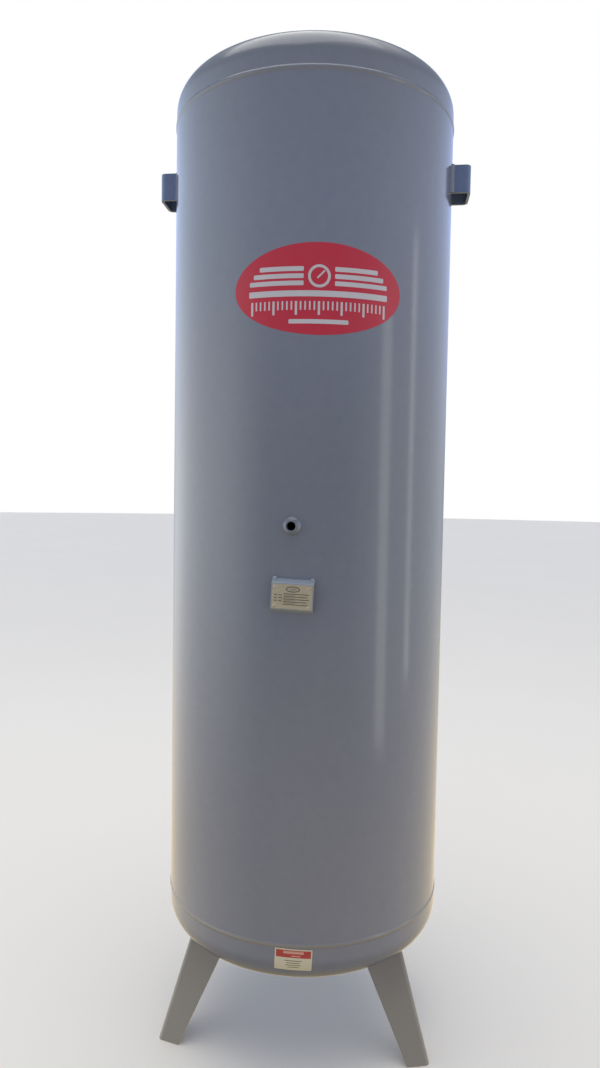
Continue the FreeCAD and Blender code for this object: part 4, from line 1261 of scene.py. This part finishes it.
# ------------------------------------------------------------------ the studio
class RECEIVER_OT_stage(bpy.types.Operator):
    """Sets up the pale floor, the soft studio light and the camera"""

    bl_idname = "receiver.stage"
    bl_label = "Studio"

    def execute(self, context):
        not_floor = bpy.data.collections.new("left_out_of_the_strips")
        not_floor.objects.link(self.floor())
        not_floor.collection_objects[0].light_linking.link_state = "EXCLUDE"
        self.surroundings()
        middle = (LOWER_SEAM + UPPER_SEAM) / 2
        self.panel("overhead", (-0.3, -0.3, 4.6), middle, 3.0, 3.0, 40, "#fbfaf6")
        strips = (
            self.panel("right_strip", (3.65, -1.6, 1.0), middle, 0.6, 3.0, 9.0, "#fdfaf0"),
            self.panel("far_right_strip", (4.0, 0.2, 1.4), middle, 0.4, 3.0, 6.0, "#fdfaf0"))
        for strip in strips:
            strip.light_linking.receiver_collection = not_floor  # no bright patch on the floor
        self.camera(context)
        context.scene.view_settings.view_transform = "Standard"
        return {"FINISHED"}

    def floor(self):
        bm = bmesh.new()
        bmesh.ops.create_circle(bm, cap_ends=True, segments=128, radius=40.0)
        shift(bm, Matrix.Translation((0, 0, -0.5 * MM)))
        mesh = bpy.data.meshes.new("studio_floor")
        bm.to_mesh(mesh)
        bm.free()
        mesh.materials.append(finish("floor"))
        floor = bpy.data.objects.new("studio_floor", mesh)
        floor.visible_glossy = False  # the tank shows the room, and not the pale floor
        floor.visible_diffuse = False
        bpy.context.scene.collection.objects.link(floor)
        return floor

    def surroundings(self):
        """White behind the tank, and a plain soft room for light and reflections.

        Grey walls, brighter at the tank's left and a little at its right, with cool light from
        above and a warm bounce from below.
        """
        world = bpy.data.worlds.new("studio_room")
        world.use_nodes = True
        tree = world.node_tree
        tree.nodes.clear()
        way = add_node(tree, "ShaderNodeTexCoord").outputs["Generated"]
        rise = add_node(tree, "ShaderNodeSeparateXYZ", {"Vector": way}).outputs["Z"]
        upper = add_node(tree, "ShaderNodeMapRange", {
            "Value": rise, "From Min": 0.02, "From Max": 0.32}).outputs[0]
        glow = add_node(tree, "ShaderNodeMix", {
            0: upper, 6: colour("#e6e8ea"), 7: colour("#b6c6dc")}, data_type="RGBA").outputs[2]
        layers = [(upper, colour("#8c98c0"))]
        for side, strength in (((-1.0, 0.1, 0.0), 1.0), ((1.0, 0.25, 0.0), 0.45)):
            facing = add_node(tree, "ShaderNodeVectorMath", {0: way, 1: side},
                              operation="DOT_PRODUCT").outputs["Value"]
            share = add_node(tree, "ShaderNodeMapRange", {
                "Value": facing, "From Min": 0.3, "From Max": 1.0, "To Max": strength},
                interpolation_type="SMOOTHSTEP").outputs[0]
            layers.append((share, glow))
        heights = (  # where each tone starts and is whole, as a direction's rise, and its most share
            (-0.06, -0.42, 0.8, "#bdac8c"),  # warm bounce from the ground
            (0.36, 0.62, 1.0, "#5a6068"),  # shaded ceiling
            (0.76, 0.88, 1.0, "#bdbab4"),  # pale ceiling right overhead
            (-0.5, -0.8, 1.0, "#75694f"))  # darker ground right below
        for start, end, cover, code in heights:
            fade = add_node(tree, "ShaderNodeMapRange", {
                "Value": rise, "From Min": start, "From Max": end, "To Max": cover}).outputs[0]
            layers.append((fade, colour(code)))
        lit = colour("#5c636c")
        for share, tone in layers:
            lit = add_node(tree, "ShaderNodeMix", {0: share, 6: lit, 7: tone},
                           data_type="RGBA").outputs[2]
        room = add_node(tree, "ShaderNodeBackground", {"Color": lit, "Strength": 2.7})
        white = add_node(tree, "ShaderNodeBackground", {"Color": colour("#ffffff"), "Strength": 1.0})
        seen = add_node(tree, "ShaderNodeLightPath").outputs["Is Camera Ray"]
        mixed = add_node(tree, "ShaderNodeMixShader", {0: seen, 1: room.outputs[0], 2: white.outputs[0]})
        add_node(tree, "ShaderNodeOutputWorld", {"Surface": mixed.outputs[0]})
        bpy.context.scene.world = world

    def panel(self, name, spot, aim, wide, tall, power, tint):
        """A soft panel that looks at the tank's axis at the height aim."""
        light = bpy.data.lights.new(name, "AREA")
        light.shape = "RECTANGLE"
        light.size = wide
        light.size_y = tall
        light.energy = power
        light.color = colour(tint)[:3]
        lamp = bpy.data.objects.new(name, light)
        way = Vector((0, 0, aim)) - Vector(spot)
        lamp.matrix_world = Matrix.Translation(spot) @ way.to_track_quat("-Z", "Y").to_matrix().to_4x4()
        lamp.visible_camera = False
        bpy.context.scene.collection.objects.link(lamp)
        return lamp

    def camera(self, context):
        studio = context.scene.receiver_studio
        data = bpy.data.cameras.new("studio_camera")
        data.lens = studio.lens
        data.sensor_width = 36.0
        data.clip_start = 0.05
        data.clip_end = 200.0
        camera = bpy.data.objects.new("studio_camera", data)
        camera.matrix_world = (
            Matrix.Rotation(studio.turn, 4, "Z")
            @ Matrix.Translation((0, -studio.distance, LOWER_SEAM + studio.rise))
            @ Matrix.Rotation(studio.yaw, 4, "Z")
            @ Matrix.Rotation(math.pi / 2 - studio.pitch, 4, "X")
            @ Matrix.Rotation(studio.roll, 4, "Z"))
        context.scene.collection.objects.link(camera)
        context.scene.camera = camera


PIECES = (
    RECEIVER_OT_shell,
    RECEIVER_OT_ends,
    RECEIVER_OT_seam_welds,
    RECEIVER_OT_sockets,
    RECEIVER_OT_plug,
    RECEIVER_OT_lugs,
    RECEIVER_OT_legs,
    RECEIVER_OT_bracket,
    RECEIVER_OT_data_plate,
    RECEIVER_OT_decal,
    RECEIVER_OT_label,
    RECEIVER_OT_stage,
)


class RECEIVER_PT_builder(bpy.types.Panel):
    """Lists the receiver's pieces in the order they are made"""

    bl_label = "Air receiver"
    bl_idname = "RECEIVER_PT_builder"
    bl_space_type = "VIEW_3D"
    bl_region_type = "UI"
    bl_category = "Receiver"

    def draw(self, context):
        for piece in PIECES:
            self.layout.operator(piece.bl_idname)


GROUPS = {
    "receiver_plate_work": ReceiverPlateWork,
    "receiver_welds": ReceiverWelds,
    "receiver_plates": ReceiverPlates,
    "receiver_colours": ReceiverColours,
    "receiver_studio": ReceiverStudio,
}


def register():
    for name, group in GROUPS.items():
        bpy.utils.register_class(group)
        setattr(bpy.types.Scene, name, PointerProperty(type=group))
    for item in (*PIECES, RECEIVER_PT_builder):
        bpy.utils.register_class(item)


def unregister():
    for item in reversed((*PIECES, RECEIVER_PT_builder)):
        bpy.utils.unregister_class(item)
    for name, group in reversed(GROUPS.items()):
        delattr(bpy.types.Scene, name)
        bpy.utils.unregister_class(group)


def main():
    """Makes every piece in order."""
    register()
    for piece in PIECES:
        family, action = piece.bl_idname.split(".")
        getattr(getattr(bpy.ops, family), action)()


if __name__ == "__main__":
    main()
